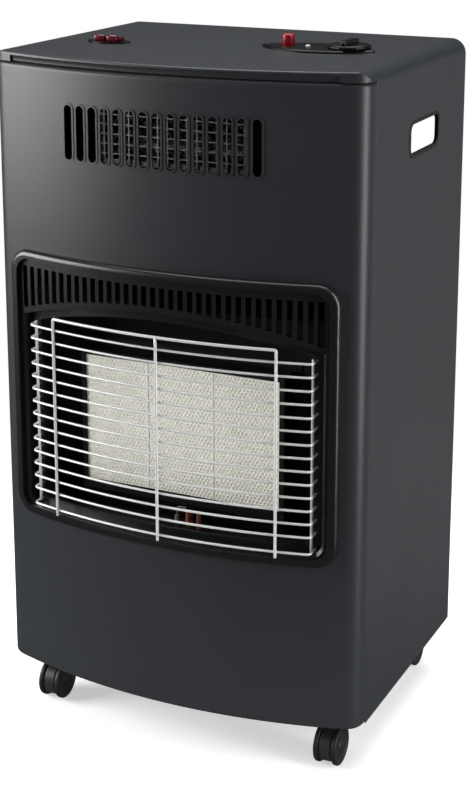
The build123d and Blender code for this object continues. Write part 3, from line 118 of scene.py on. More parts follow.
def fan(ring, apex, flip=False):
    """Triangles from each pair of neighbours on a closed ring of point numbers to one apex."""
    pair = (ring, np.roll(ring, -1))
    if flip:
        pair = pair[::-1]
    return np.stack((*pair, np.full(len(ring), apex)), axis=1)


def add_piece(name, points, faces, finish, body, replaced=(), look=None):
    """Make a mesh from points in millimetres and lists of faces, finish it and let it ride on a body.

    look is the material's name, where it isn't the finish's own.
    """
    mesh = bpy.data.meshes.new(name)
    polygons = [polygon for group in faces for polygon in np.asarray(group).tolist()]
    mesh.from_pydata((np.asarray(points) * MM).tolist(), [], polygons)
    mesh.polygons.foreach_set("use_smooth", np.full(len(mesh.polygons), True))
    mesh.update()
    mesh.validate()
    piece = bpy.data.objects.new(name, mesh)
    bpy.context.scene.collection.objects.link(piece)
    piece.data.materials.append(bpy.data.materials[look or finish])
    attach(piece, body)
    if replaced:
        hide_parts(*replaced)
    return piece


def face_outwards(piece):
    """Turn a closed mesh's faces outwards if its signed volume is negative."""
    mesh = piece.data
    mesh.calc_loop_triangles()
    points = np.empty(len(mesh.vertices) * 3)
    mesh.vertices.foreach_get("co", points)
    triangles = np.empty(len(mesh.loop_triangles) * 3, dtype=np.int32)
    mesh.loop_triangles.foreach_get("vertices", triangles)
    corner = points.reshape(-1, 3)[triangles.reshape(-1, 3)]
    volume = np.einsum("ij,ij->i", corner[:, 0], np.cross(corner[:, 1], corner[:, 2])).sum()
    if volume < 0:
        mesh.flip_normals()


class Collector:
    """Gathers several shapes' points and faces, so that they make one mesh."""

    def __init__(self):
        self.points, self.faces, self.count = [], [], 0

    def add(self, points, faces):
        """Take in one more shape, whose faces count its own points from 0."""
        self.points.append(points)
        self.faces += [np.asarray(group) + self.count for group in faces]
        self.count += len(points)

    def all_points(self):
        """The points of every shape taken in so far, in that order."""
        return np.concatenate(self.points)


def tube(path, reference, radius, sides):
    """A round wire: a circle of the given radius carried along the path, square to it.

    At each point the circle lies across the path's direction t, on the axes n = reference less its
    part along t, and b = t x n. Both ends are closed by a point a third of a radius further on.
    """
    direction = np.gradient(path, axis=0)
    direction /= np.linalg.norm(direction, axis=1, keepdims=True)
    reference = np.broadcast_to(reference, path.shape)
    normal = reference - direction * np.sum(reference * direction, axis=1, keepdims=True)
    normal /= np.linalg.norm(normal, axis=1, keepdims=True)
    side = np.cross(direction, normal)
    angle = np.linspace(0, 2 * np.pi, sides, endpoint=False)[None, :, None]
    rings = path[:, None] + radius * (np.cos(angle) * normal[:, None] + np.sin(angle) * side[:, None])
    tips = np.stack((path[0] - direction[0] * radius / 3, path[-1] + direction[-1] * radius / 3))
    points = np.concatenate((rings.reshape(-1, 3), tips))
    total = len(path) * sides
    ring = np.arange(sides)
    faces = [
        grid_quads(len(path), sides, wrap_columns=True)[:, ::-1],
        fan(ring, total, flip=True),
        fan(ring + total - sides, total + 1),
    ]
    return points, faces


def rounded(path, step, corner):
    """Resample a path every step and take a running mean over a length of corner, which rounds it."""
    length = np.concatenate(([0], np.cumsum(np.linalg.norm(np.diff(path, axis=0), axis=1))))
    at = np.linspace(0, length[-1], max(int(length[-1] / step), 8))
    dense = np.stack([np.interp(at, length, path[:, axis]) for axis in range(3)], axis=1)
    half = max(int(corner / step / 2), 1)
    window = np.ones(2 * half + 1) / (2 * half + 1)
    before = 2 * dense[0] - dense[half:0:-1]
    after = 2 * dense[-1] - dense[-2 : -half - 2 : -1]
    padded = np.concatenate((before, dense, after))
    return np.stack([np.convolve(padded[:, axis], window, mode="valid") for axis in range(3)], axis=1)


def column(x, y, heights):
    """Points one above another at x and y."""
    return np.stack((np.full_like(heights, x), np.full_like(heights, y), heights), axis=1)


def lathe(profile, centre, axis, sides, flute=None):
    """A turned piece: profile points (distance along the axis, radius) swept round the axis.

    The profile starts and ends on the axis. flute(angle) scales the radius, and gives a fluted rim.
    """
    angle = np.linspace(0, 2 * np.pi, sides, endpoint=False)
    scale = np.ones(sides) if flute is None else flute(angle)
    along, radius = profile[:, 0], profile[:, 1]
    first, second = [(1, 2), (2, 0), (0, 1)][axis]
    inner = slice(1, -1)
    rings = np.zeros((len(profile) - 2, sides, 3))
    rings[..., axis] = along[inner, None]
    rings[..., first] = radius[inner, None] * np.cos(angle) * scale
    rings[..., second] = radius[inner, None] * np.sin(angle) * scale
    poles = np.zeros((2, 3))
    poles[:, axis] = along[0], along[-1]
    points = np.concatenate((rings.reshape(-1, 3), poles)) + centre
    rows = len(profile) - 2
    ring = np.arange(sides)
    faces = [
        grid_quads(rows, sides, wrap_columns=True),
        fan(ring, rows * sides),
        fan(ring + (rows - 1) * sides, rows * sides + 1, flip=True),
    ]
    if along[-1] > along[0]:
        faces = [group[:, ::-1] for group in faces]
    return points, faces


def pillow(centre, half, power_plan, power_side, sides=48, rows=17):
    """A closed soft-edged block: a superellipsoid.

    x and y follow |cos| and |sin| of the turn to the power 2 / power_plan, and both they and z follow
    the rise to the power 2 / power_side, each times its half size.
    """
    turn = np.linspace(0, 2 * np.pi, sides, endpoint=False)
    rise = np.linspace(-np.pi / 2, np.pi / 2, rows)[1:-1]

    def power(value, exponent):
        return np.sign(value) * np.abs(value) ** (2 / exponent)

    ring = power(np.cos(rise), power_side)[:, None]
    points = np.stack(
        (
            half[0] * ring * power(np.cos(turn), power_plan),
            half[1] * ring * power(np.sin(turn), power_plan),
            half[2] * np.broadcast_to(power(np.sin(rise), power_side)[:, None], (rows - 2, sides)),
        ),
        axis=-1,
    ).reshape(-1, 3)
    poles = np.array([[0, 0, -half[2]], [0, 0, half[2]]])
    points = np.concatenate((points, poles)) + centre
    numbers = np.arange(sides)
    count = (rows - 2) * sides
    faces = [
        grid_quads(rows - 2, sides, wrap_columns=True)[:, ::-1],
        fan(numbers, count, flip=True),
        fan(numbers + count - sides, count + 1),
    ]
    return points, faces


# ---------------------------------------------------------------------------------------------
# Finishes: shared node groups and one material for each finish
# ---------------------------------------------------------------------------------------------
def new_group(name, inputs, outputs):
    """Start a shader node group with named float, vector or colour sockets."""
    group = bpy.data.node_groups.new(name, "ShaderNodeTree")
    for socket, kind, default in inputs:
        made = group.interface.new_socket(socket, in_out="INPUT", socket_type=kind)
        made.default_value = default
    for socket, kind in outputs:
        group.interface.new_socket(socket, in_out="OUTPUT", socket_type=kind)
    start = group.nodes.new("NodeGroupInput")
    end = group.nodes.new("NodeGroupOutput")
    return group, start, end


def add_node(tree, kind, **settings):
    """Add a node, with attributes by name and unlinked inputs by socket name after in_."""
    node = tree.nodes.new(kind)
    for key, value in settings.items():
        if key.startswith("in_"):
            node.inputs[key[3:].replace("_", " ")].default_value = value
        else:
            setattr(node, key, value)
    return node


FLOAT, VECTOR, COLOUR = "NodeSocketFloat", "NodeSocketVector", "NodeSocketColor"


def build_grain_group():
    """Grain: noise on Object coordinates, stretched per axis, spread over 0 to 1."""
    group, start, end = new_group(
        "Grain",
        [("Scale", FLOAT, 100.0), ("Stretch", VECTOR, (1, 1, 1)), ("Detail", FLOAT, 3.0)],
        [("Grain", FLOAT)],
    )
    place = add_node(group, "ShaderNodeTexCoord")
    stretch = add_node(group, "ShaderNodeVectorMath", operation="MULTIPLY")
    noise = add_node(group, "ShaderNodeTexNoise", in_Roughness=0.6)
    spread = add_node(group, "ShaderNodeMapRange")
    spread.inputs["From Min"].default_value = 0.3
    spread.inputs["From Max"].default_value = 0.7
    link = group.links.new
    link(place.outputs["Object"], stretch.inputs[0])
    link(start.outputs["Stretch"], stretch.inputs[1])
    link(stretch.outputs[0], noise.inputs["Vector"])
    link(start.outputs["Scale"], noise.inputs["Scale"])
    link(start.outputs["Detail"], noise.inputs["Detail"])
    link(noise.outputs["Fac"], spread.inputs["Value"])
    link(spread.outputs["Result"], end.inputs["Grain"])


def build_dust_group():
    """Dust: a mask that is strongest where a surface faces up, broken up by noise."""
    group, start, end = new_group("Dust", [("Amount", FLOAT, 0.1)], [("Mask", FLOAT)])
    geometry = add_node(group, "ShaderNodeNewGeometry")
    split = add_node(group, "ShaderNodeSeparateXYZ")
    upward = add_node(group, "ShaderNodeMapRange")
    upward.inputs["From Min"].default_value = 0.2
    grain = add_node(group, "ShaderNodeGroup", node_tree=bpy.data.node_groups["Grain"])
    grain.inputs["Scale"].default_value = 60.0
    both = add_node(group, "ShaderNodeMath", operation="MULTIPLY")
    amount = add_node(group, "ShaderNodeMath", operation="MULTIPLY")
    link = group.links.new
    link(geometry.outputs["Normal"], split.inputs[0])
    link(split.outputs["Z"], upward.inputs["Value"])
    link(upward.outputs["Result"], both.inputs[0])
    link(grain.outputs["Grain"], both.inputs[1])
    link(both.outputs[0], amount.inputs[0])
    link(start.outputs["Amount"], amount.inputs[1])
    link(amount.outputs[0], end.inputs["Mask"])


def build_heat_group():
    """Heat stain: a mask that fades with distance from a centre, broken up by noise."""
    group, start, end = new_group(
        "Heat stain",
        [("Centre", VECTOR, (0, -0.13, 0.35)), ("Reach", FLOAT, 0.15)],
        [("Mask", FLOAT)],
    )
    place = add_node(group, "ShaderNodeTexCoord")
    away = add_node(group, "ShaderNodeVectorMath", operation="DISTANCE")
    share = add_node(group, "ShaderNodeMath", operation="DIVIDE")
    invert = add_node(group, "ShaderNodeMath", operation="SUBTRACT", use_clamp=True)
    invert.inputs[0].default_value = 1.0
    grain = add_node(group, "ShaderNodeGroup", node_tree=bpy.data.node_groups["Grain"])
    grain.inputs["Scale"].default_value = 25.0
    both = add_node(group, "ShaderNodeMath", operation="MULTIPLY")
    link = group.links.new
    link(place.outputs["Object"], away.inputs[0])
    link(start.outputs["Centre"], away.inputs[1])
    link(away.outputs["Value"], share.inputs[0])
    link(start.outputs["Reach"], share.inputs[1])
    link(share.outputs[0], invert.inputs[1])
    link(invert.outputs[0], both.inputs[0])
    link(grain.outputs["Grain"], both.inputs[1])
    link(both.outputs[0], end.inputs["Mask"])


def build_pores_group():
    """Pores: round holes on a jittered lattice, with the height they take away; their mask carries a darker
    colour, painted shade inside the holes.
    """
    group, start, end = new_group(
        "Pores", [("Scale", FLOAT, 500.0), ("Size", FLOAT, 0.3)], [("Mask", FLOAT), ("Height", FLOAT)]
    )
    place = add_node(group, "ShaderNodeTexCoord")
    cells = add_node(group, "ShaderNodeTexVoronoi", in_Randomness=0.35)
    inside = add_node(group, "ShaderNodeMath", operation="LESS_THAN")
    invert = add_node(group, "ShaderNodeMath", operation="SUBTRACT")
    invert.inputs[0].default_value = 1.0
    link = group.links.new
    link(place.outputs["Object"], cells.inputs["Vector"])
    link(start.outputs["Scale"], cells.inputs["Scale"])
    link(cells.outputs["Distance"], inside.inputs[0])
    link(start.outputs["Size"], inside.inputs[1])
    link(inside.outputs[0], end.inputs["Mask"])
    link(inside.outputs[0], invert.inputs[1])
    link(invert.outputs[0], end.inputs["Height"])


def place_group(tree, name, **values):
    """Place a shared group in a material, with its own values."""
    node = add_node(tree, "ShaderNodeGroup", node_tree=bpy.data.node_groups[name])
    for key, value in values.items():
        node.inputs[key].default_value = value
    return node


def mix_colours(tree, mask, first, second):
    """Mix two colours, or a linked colour and a plain one, by a mask; return the colour output."""
    mix = add_node(tree, "ShaderNodeMix", data_type="RGBA")
    tree.links.new(mask, mix.inputs["Factor"])
    for value, socket in ((first, mix.inputs[6]), (second, mix.inputs[7])):
        if isinstance(value, bpy.types.NodeSocket):
            tree.links.new(value, socket)
        else:
            socket.default_value = (*value, 1.0)
    return mix.outputs[2]


def make_finish(
    name,
    colour,
    roughness,
    metallic=0.0,
    mottle=0.12,
    mottle_scale=8.0,
    grain_scale=900.0,
    stretch=(1, 1, 1),
    bump=0.15,
    depth=0.0002,
    coat=0.0,
    dust=0.05,
    stain=None,
    pores=None,
    specular=0.5,
):
    """One material: mottled colour, dust, optional heat stain and pores, grained roughness and bump.

    It takes the place of the frame's plain material of the same name. stain is its colour and reach in
    metres, and pores are the colour of their painted shade, cells a metre and size in a cell.
    """
    plain = bpy.data.materials.get(name)
    if plain is not None:
        bpy.data.materials.remove(plain)
    material = bpy.data.materials.new(name)
    material.use_nodes = True
    material.diffuse_color = (*colour, 1.0)
    tree = material.node_tree
    shader = tree.nodes["Principled BSDF"]
    link = tree.links.new
    coarse = place_group(tree, "Grain", Scale=mottle_scale)
    fine = place_group(tree, "Grain", Scale=grain_scale, Stretch=stretch, Detail=2.0)
    colour = np.array(colour)
    darker, lighter = colour * (1 - mottle), np.minimum(colour * (1 + mottle), 1)
    shown = mix_colours(tree, coarse.outputs["Grain"], darker, lighter)
    if stain is not None:
        heat = place_group(tree, "Heat stain", Reach=stain[1])
        shown = mix_colours(tree, heat.outputs["Mask"], shown, stain[0])
    height = fine.outputs["Grain"]
    if pores is not None:
        holes = place_group(tree, "Pores", Scale=pores[1], Size=pores[2])
        # painted shade: the pores take a darker colour that stands in for the shade inside the holes
        shown = mix_colours(tree, holes.outputs["Mask"], shown, pores[0])
        height = holes.outputs["Height"]
    film = place_group(tree, "Dust", Amount=dust)
    shown = mix_colours(tree, film.outputs["Mask"], shown, DUST_COLOUR)
    link(shown, shader.inputs["Base Color"])
    rough = add_node(tree, "ShaderNodeMapRange")
    rough.inputs["To Min"].default_value = max(roughness - ROUGHNESS_SPREAD, 0.02)
    rough.inputs["To Max"].default_value = min(roughness + ROUGHNESS_SPREAD, 1.0)
    link(fine.outputs["Grain"], rough.inputs["Value"])
    link(rough.outputs["Result"], shader.inputs["Roughness"])
    relief = add_node(tree, "ShaderNodeBump", in_Strength=bump, in_Distance=depth)
    link(height, relief.inputs["Height"])
    link(relief.outputs["Normal"], shader.inputs["Normal"])
    shader.inputs["Metallic"].default_value = metallic
    shader.inputs["Coat Weight"].default_value = coat
    shader.inputs["Coat Roughness"].default_value = COAT_ROUGHNESS
    shader.inputs["Specular IOR Level"].default_value = specular
    return material


def colour_property(name, description, default):
    """A colour a user would change."""
    return FloatVectorProperty(
        name=name, description=description, default=default, subtype="COLOR", size=3, min=0.0, max=1.0
    )


class HeaterFinishes(bpy.types.PropertyGroup):
    """Colours of the main finishes."""

    cabinet: colour_property("Cabinet paint", "Satin paint of the cabinet", (0.024, 0.0265, 0.030))
    bezel: colour_property("Bezel paint", "Heat-proof paint of the firebox bezel", (0.009, 0.009, 0.010))
    ceramic: colour_property("Plaque ceramic", "Unglazed burner plaques", (0.93, 0.91, 0.82))
    button: colour_property("Switch red", "Igniter button", (0.26, 0.005, 0.010))
    moulding: colour_property("Black moulding", "Knob and plates", (0.0045, 0.0045, 0.0055))


class HeaterGuard(bpy.types.PropertyGroup):
    """Sizes of the wire guard."""

    wire: FloatProperty(name="Wire", description="Row wire diameter, mm", default=2.5, min=1.0, max=4.0)
    upright: FloatProperty(
        name="Upright", description="Upright wire diameter, mm", default=3.0, min=1.0, max=5.0
    )
    pitch: FloatProperty(name="Pitch", description="Height between rows, mm", default=14.0, min=8.0, max=30.0)
    rows: IntProperty(name="Rows", description="Number of bowed row wires", default=15, min=3, max=30)
    sides: IntProperty(name="Sides", description="Facets round a wire", default=10, min=6, max=24)


class HeaterPlaques(bpy.types.PropertyGroup):
    """Relief of the ceramic plaques."""

    pitch: FloatProperty(
        name="Pitch", description="Distance between dimples, mm", default=4.2, min=2.0, max=8.0
    )
    depth: FloatProperty(name="Depth", description="Depth of a dimple, mm", default=1.1, min=0.2, max=2.0)


class HeaterStage(bpy.types.PropertyGroup):
    """Camera and light."""

    azimuth: FloatProperty(
        name="Azimuth",
        description="Turn of the camera round the heater",
        default=math.radians(25.3),
        subtype="ANGLE",
    )
    elevation: FloatProperty(
        name="Elevation", description="Camera's height angle", default=math.radians(13.6), subtype="ANGLE"
    )
    distance: FloatProperty(
        name="Distance", description="From the camera to the point it looks at", default=1.857, unit="LENGTH"
    )
    focal: FloatProperty(name="Focal length", description="In pixels of the image", default=1693.0)
    shift: FloatProperty(name="Shift", description="Vertical shift of the lens", default=-0.2)
    key: FloatProperty(name="Key light", description="Factor on every lamp's power", default=1.0, min=0.0)
    room: FloatProperty(
        name="Room", description="Brightness of the room round the heater", default=0.05, min=0.0
    )


class HEATER_OT_finishes(bpy.types.Operator):
    """Make every finish and give it to the CAD nodes that use it"""

    bl_idname = "heater.finishes"
    bl_label = "Finishes"

    def execute(self, context):
        chosen = context.scene.heater_finishes
        build_grain_group()
        build_dust_group()
        build_heat_group()
        build_pores_group()
        across, upright = (1, 1, 14), (14, 14, 1)
        make_finish(
            "cabinet_paint", chosen.cabinet, 0.36,
            mottle=0.06, grain_scale=1400, bump=0.25, dust=0.002, specular=0.40,
        )
        make_finish("bezel_paint", chosen.bezel, 0.24, mottle=0.10, grain_scale=1800, bump=0.2, dust=0.002)
        make_finish(
            "guard_wire", (0.74, 0.75, 0.74), 0.34, 0.3, mottle=0.05, grain_scale=600, bump=0.05, dust=0.0
        )
        # painted shade: the liner's near-black colour stands in for the shade inside the firebox and under
        # the hood; its heat stain is real
        make_finish(
            "liner_steel", (0.014, 0.014, 0.014), 0.8,
            stretch=across, stain=((0.020, 0.016, 0.013), 0.2), dust=0.0, specular=0.04,
        )
        # painted shade: the structure steel is made dark so that the cabinet's inside, seen through the
        # slots, reads as shade
        make_finish(
            "structure_steel", (0.10, 0.10, 0.105), 0.45, 0.8, mottle=0.15, mottle_scale=40, stretch=across
        )
        make_finish(
            "burner_steel", (0.03, 0.03, 0.03), 0.40, 0.9,
            stretch=upright, stain=((0.03, 0.023, 0.024), 0.16), dust=0.0,
        )
        # painted shade: the pores' colour (0.50, 0.47, 0.38) is the shade inside the plaque's holes; their
        # bump is real relief
        make_finish(
            "plaque_ceramic", chosen.ceramic, 0.9,
            mottle=0.05, mottle_scale=60, bump=0.5, depth=0.0006, dust=0.0,
            pores=((0.50, 0.47, 0.38), 620.0, 0.2),
        )
        make_finish("gas_aluminium", (0.62, 0.63, 0.64), 0.35, 1.0, mottle=0.06, stretch=across)
        make_finish("gas_brass", (0.62, 0.44, 0.18), 0.3, 1.0, mottle=0.1, stretch=across)
        make_finish("pilot_copper", (0.30, 0.10, 0.06), 0.45, 0.7, mottle=0.25, mottle_scale=200)
        make_finish("electrode_ceramic", (0.16, 0.155, 0.145), 0.3, mottle=0.10)
        make_finish("fan_aluminium", (0.30, 0.31, 0.32), 0.38, 1.0, mottle=0.06, stretch=across)
        make_finish("motor_steel", (0.06, 0.065, 0.07), 0.4, 0.6)
        make_finish("element_steel", (0.34, 0.335, 0.33), 0.36, 0.85, mottle=0.2, mottle_scale=120, dust=0.0)
        make_finish("zinc", (0.52, 0.53, 0.54), 0.36, 0.95, mottle=0.1, mottle_scale=80)
        self.mouldings(chosen)
        for row in frame["record"]["subparts"]:
            node = NODES[row["node"]]
            if not node.material_slots:
                node.data.materials.append(None)
            for slot in node.material_slots:
                slot.material = bpy.data.materials[row["material_slot"]]
        return {"FINISHED"}

    def mouldings(self, chosen):
        """The plastics: plates, knob, button, rockers, lamp, housings and casters."""
        controls = {"grain_scale": 2200, "dust": 0.0}
        casters = {"grain_scale": 2400, "dust": 0.0}
        make_finish("control_black", chosen.moulding, 0.30, mottle=0.05, bump=0.1, specular=0.22, **controls)
        make_finish("switch_red", chosen.button, 0.30, mottle=0.05, bump=0.06, coat=0.15, **controls)
        make_finish("rocker_red", (0.10, 0.003, 0.012), 0.14, mottle=0.05, bump=0.03, coat=0.5, **controls)
        make_finish("lamp_white", (0.60, 0.60, 0.58), 0.22, mottle=0.02, coat=0.3, dust=0.0)
        make_finish(
            "housing_black", (0.010, 0.010, 0.011), 0.5, mottle=0.08, grain_scale=2600, bump=0.3, dust=0.0
        )
        make_finish("caster_plastic", (0.020, 0.020, 0.022), 0.42, mottle=0.06, bump=0.2, **casters)
        make_finish("wheel_plastic", (0.012, 0.012, 0.013), 0.46, mottle=0.10, bump=0.25, **casters)


class HEATER_OT_guard(bpy.types.Operator):
    """Bowed row wires whose ends turn back into the bezel, and the uprights welded over them"""

    bl_idname = "heater.guard"
    bl_label = "Wire guard"

    def execute(self, context):
        """Tubes along arcs of the bow and along upright lines, all in one mesh.

        The rows stand row_proud in front of the bow, and the frame wire and uprights lie over them,
        weld deep into them. The lowest row is lowest_row above the box's foot. The others are pitch
        apart, and the highest of them is highest_row below the frame wire.
        """
        size = context.scene.heater_guard
        lowest, highest = low("wire_guard"), high("wire_guard")
        weld = 0.5
        lowest_row, highest_row = 5.4, 13.0
        frame_share = 0.789
        half = highest[0] - size.wire / 2 * math.cos(math.pi / 6)
        top = highest[2] - size.upright / 2
        row_proud = BOW_CENTRE - lowest[1] - BOW_RADIUS - size.upright - size.wire / 2 + weld
        upright_proud = row_proud + (size.wire + size.upright) / 2 - weld
        first = lowest[2] + lowest_row
        second = top - highest_row - size.pitch * (size.rows - 2)
        heights = np.concatenate(([first], second + size.pitch * np.arange(size.rows - 1)))
        wires = Collector()
        self.rows(wires, size, half, row_proud, heights)
        self.frame_wire(wires, size, frame_share * half, upright_proud, lowest[2], top)
        middle = column(0.0, bow_y(0.0, upright_proud), np.linspace(lowest[2], top, 24))
        wires.add(*tube(middle, np.array([0.0, -1.0, 0.0]), size.upright / 2, size.sides))
        self.posts(wires, size, half, weld, row_proud, np.linspace(first, heights[-1] + size.wire, 24))
        add_piece("guard_wires", wires.all_points(), wires.faces, "guard_wire", "root", ["wire_guard"])
        return {"FINISHED"}

    def rows(self, wires, size, half, proud, heights):
        """A row follows the bow's arc, and at both ends turns straight back through the bezel's ledge."""
        end_sink = 12.0
        step, corner = 2.0, 8.0
        end_y = bow_y(half, -end_sink)
        x = np.linspace(-half, half, 81)
        bow = np.stack((x, bow_y(x, proud), np.zeros_like(x)), axis=1)
        left_end, right_end = np.array([[-half, end_y, 0.0]]), np.array([[half, end_y, 0.0]])
        row = rounded(np.concatenate((left_end, bow, right_end)), step, corner)
        for z in heights:
            wires.add(*tube(row + (0, 0, z), np.array([0.0, 0.0, 1.0]), size.wire / 2, size.sides))

    def frame_wire(self, wires, size, half, proud, foot, top):
        """One wire goes up, along the bow's arc at the top, and down again."""
        step, corner = 1.0, 5.0
        x = np.linspace(-half, half, 61)
        bow = np.stack((x, bow_y(x, proud), np.full_like(x, top)), axis=1)
        foot_y = bow_y(half, proud)
        feet = (np.array([[-half, foot_y, foot]]), np.array([[half, foot_y, foot]]))
        arch = rounded(np.concatenate((feet[0], bow, feet[1])), step, corner)
        outward = np.stack((arch[:, 0], arch[:, 1] - BOW_CENTRE, np.zeros(len(arch))), axis=1)
        wires.add(*tube(arch, outward, size.upright / 2, size.sides))

    def posts(self, wires, size, half, weld, proud, rise):
        """An upright stands inside the rows' turned ends, just behind halfway to the bezel's ledge."""
        ledge_sink = 9.0
        behind = 2.0
        y = (bow_y(half, proud) + bow_y(half, -ledge_sink)) / 2 + behind
        for side in (-1, 1):
            x = side * (half - size.wire / 2 - size.upright / 2 + weld)
            wires.add(*tube(column(x, y, rise), np.array([0.0, -1.0, 0.0]), size.upright / 2, size.sides))


class HEATER_OT_plaques(bpy.types.Operator):
    """Ceramic burner plaques with a dimpled face"""

    bl_idname = "heater.plaques"
    bl_label = "Ceramic plaques"

    def execute(self, context):
        size = context.scene.heater_plaques
        for side in ("left", "centre", "right"):
            node = f"ceramic_plaque_{side}"
            self.build(node, low(node), high(node), size)
        return {"FINISHED"}

    def build(self, node, lowest, highest, size):
        """Face depth = deepest of the dimples round each point, each a raised cosine of the distance.

        Dimples sit on a staggered lattice. The face fades to flat within fade of its edge, and a narrow
        bevel, as wide as margin, joins it to the rim, which lies set_back behind it.
        """
        margin, fade, set_back = 0.5, 2.0, 0.6
        dimple_share = 0.44
        step = size.pitch / 5
        x = np.linspace(lowest[0] + margin, highest[0] - margin, int((highest[0] - lowest[0]) / step))
        z = np.linspace(lowest[2] + margin, highest[2] - margin, int((highest[2] - lowest[2]) / step))
        grid_x, grid_z = np.meshgrid(x, z, indexing="ij")
        row = size.pitch * math.sqrt(3) / 2
        depth = np.zeros_like(grid_x)
        for shift in (0, 1):
            along = (grid_x / size.pitch + shift / 2) % 1 - 0.5
            up = (grid_z / row / 2 + shift / 2) % 1 - 0.5
            away = np.hypot(along * size.pitch, up * 2 * row)
            bowl = 0.5 + 0.5 * np.cos(np.pi * np.minimum(away / (dimple_share * size.pitch), 1))
            depth = np.maximum(depth, size.depth * bowl)
        edge = np.minimum.reduce((grid_x - x[0], x[-1] - grid_x, grid_z - z[0], z[-1] - grid_z))
        depth *= np.clip(edge / fade, 0, 1)
        face = np.stack((grid_x, lowest[1] + depth, grid_z), axis=-1)
        rim_x = np.concatenate(([lowest[0]], x, [highest[0]]))
        rim_z = np.concatenate(([lowest[2]], z, [highest[2]]))
        shell = np.zeros((len(rim_x), len(rim_z), 3))
        shell[..., 0], shell[..., 2] = np.meshgrid(rim_x, rim_z, indexing="ij")
        shell[..., 1] = lowest[1] + set_back
        shell[1:-1, 1:-1] = face
        rows, columns = shell.shape[:2]
        numbers = np.arange(rows * columns).reshape(rows, columns)
        ring = np.concatenate((numbers[:-1, 0], numbers[-1, :-1], numbers[:0:-1, -1], numbers[0, :0:-1]))
        points = shell.reshape(-1, 3)
        back = points[ring].copy()
        back[:, 1] = highest[1]
        count, around = len(points), len(ring)
        walls = np.stack((ring, np.arange(around) + count), axis=0)
        turned = np.roll(walls, -1, axis=1)
        faces = [
            grid_quads(rows, columns),
            np.stack((walls[0], walls[1], turned[1], turned[0]), axis=1)[:, ::-1],
            (np.arange(around) + count)[None],
        ]
        points = np.concatenate((points, back))
        piece = add_piece(f"{node}_face", points, faces, "plaque_ceramic", "root", [node])
        face_outwards(piece)


class HEATER_OT_trims(bpy.types.Operator):
    """Moulded trims round the hand holes"""

    bl_idname = "heater.trims"
    bl_label = "Hand-hole trims"

    def execute(self, context):
        for side, name in ((-1, "left"), (1, "right")):
            self.build(side, f"handle_grip_{name}")
        return {"FINISHED"}

    def build(self, side, node):
        """A closed profile carried round a rectangle with round corners.

        The path's point at angle a lies on the corner rectangle plus a radius along (cos a, sin a);
        a profile point (out, deep) lies out from the path in its plane, and deep along X.
        """
        lowest, highest = low(node), high(node)
        centre = (lowest + highest) / 2
        lip, wall = 3.7, 1.6
        half = (highest - lowest)[1:] / 2 - lip
        radius, steps = 8.0, 9
        corner = np.arange(4)
        angle = (corner[:, None] * np.pi / 2 + np.linspace(0, np.pi / 2, steps)[None]).ravel()
        sign_y = np.repeat([1, -1, -1, 1], steps)
        sign_z = np.repeat([1, 1, -1, -1], steps)
        base = np.stack((sign_y * (half[0] - radius), sign_z * (half[1] - radius)), axis=1)
        outward = np.stack((np.cos(angle), np.sin(angle)), axis=1)
        face = side * max(abs(lowest[0]), abs(highest[0]))
        inner = side * min(abs(lowest[0]), abs(highest[0]))
        sheet = face - side * 0.8
        profile = np.array(
            [
                [0.0, inner],
                [0.0, face - side * 1.1],
                [0.2, face - side * 0.5],
                [0.7, face - side * 0.1],
                [1.7, face],
                [2.7, face - side * 0.1],
                [lip - 0.3, face - side * 0.35],
                [lip, face - side * 0.7],
                [lip, sheet],
                [wall, sheet],
                [wall, inner],
            ]
        )
        plane = base[:, None] + outward[:, None] * (radius + profile[None, :, :1])
        points = np.zeros((len(angle), len(profile), 3))
        points[..., 0] = profile[None, :, 1]
        points[..., 1] = plane[..., 0] + centre[1]
        points[..., 2] = plane[..., 1] + centre[2]
        faces = [grid_quads(len(angle), len(profile), wrap_rows=True, wrap_columns=True)]
        piece = add_piece(f"{node}_trim", points.reshape(-1, 3), faces, "housing_black", "root", [node])
        face_outwards(piece)


class HEATER_OT_brow(bpy.types.Operator):
    """Turned-in edge of the brow, behind the shadow gap"""

    bl_idname = "heater.brow"
    bl_label = "Brow edge"

    def execute(self, context):
        """A sheet strip that follows the bow from cheek to cheek.

        The point at angle s of its quarter ellipse lies reach * sin s behind the lip, and
        drop * (1 - cos s) below the lip's lower edge, so it leaves the lip level and ends upright.
        """
        sheet = 0.8
        start, reach = 1.0, 2.4
        lip_drop, clear, cheek = 4.0, 0.5, 25.5
        top = high("top_fascia")[2] - lip_drop
        drop = top - high("front_panel")[2] - clear
        s = np.linspace(0, np.pi / 2, 9)
        shown = np.stack((start + reach * np.sin(s), top - drop * (1 - np.cos(s))), axis=1)
        back = shown + sheet * np.stack((np.sin(s), np.cos(s)), axis=1)
        profile = np.concatenate((shown, back[::-1]))
        x = np.linspace(cheek - HALF_WIDTH, HALF_WIDTH - cheek, 91)
        points = np.zeros((len(x), len(profile), 3))
        points[..., 0] = x[:, None]
        points[..., 1] = bow_y(x)[:, None] + profile[None, :, 0]
        points[..., 2] = profile[None, :, 1]
        ends = points[[0, -1]].mean(axis=1)
        ring = np.arange(len(profile))
        total = len(x) * len(profile)
        faces = [
            grid_quads(len(x), len(profile), wrap_columns=True),
            fan(ring, total),
            fan(ring + total - len(profile), total + 1, flip=True),
        ]
        points = np.concatenate((points.reshape(-1, 3), ends))
        piece = add_piece("brow_edge", points, faces, "cabinet_paint", "root")
        face_outwards(piece)
        return {"FINISHED"}


def fluted(angle):
    """The share of its radius that the knob keeps at angle, 1 - depth * (0.5 + 0.5 * cos(flutes * angle))."""
    depth = 0.012
    return 1 - depth * (0.5 + 0.5 * np.cos(KNOB_FLUTES * angle))


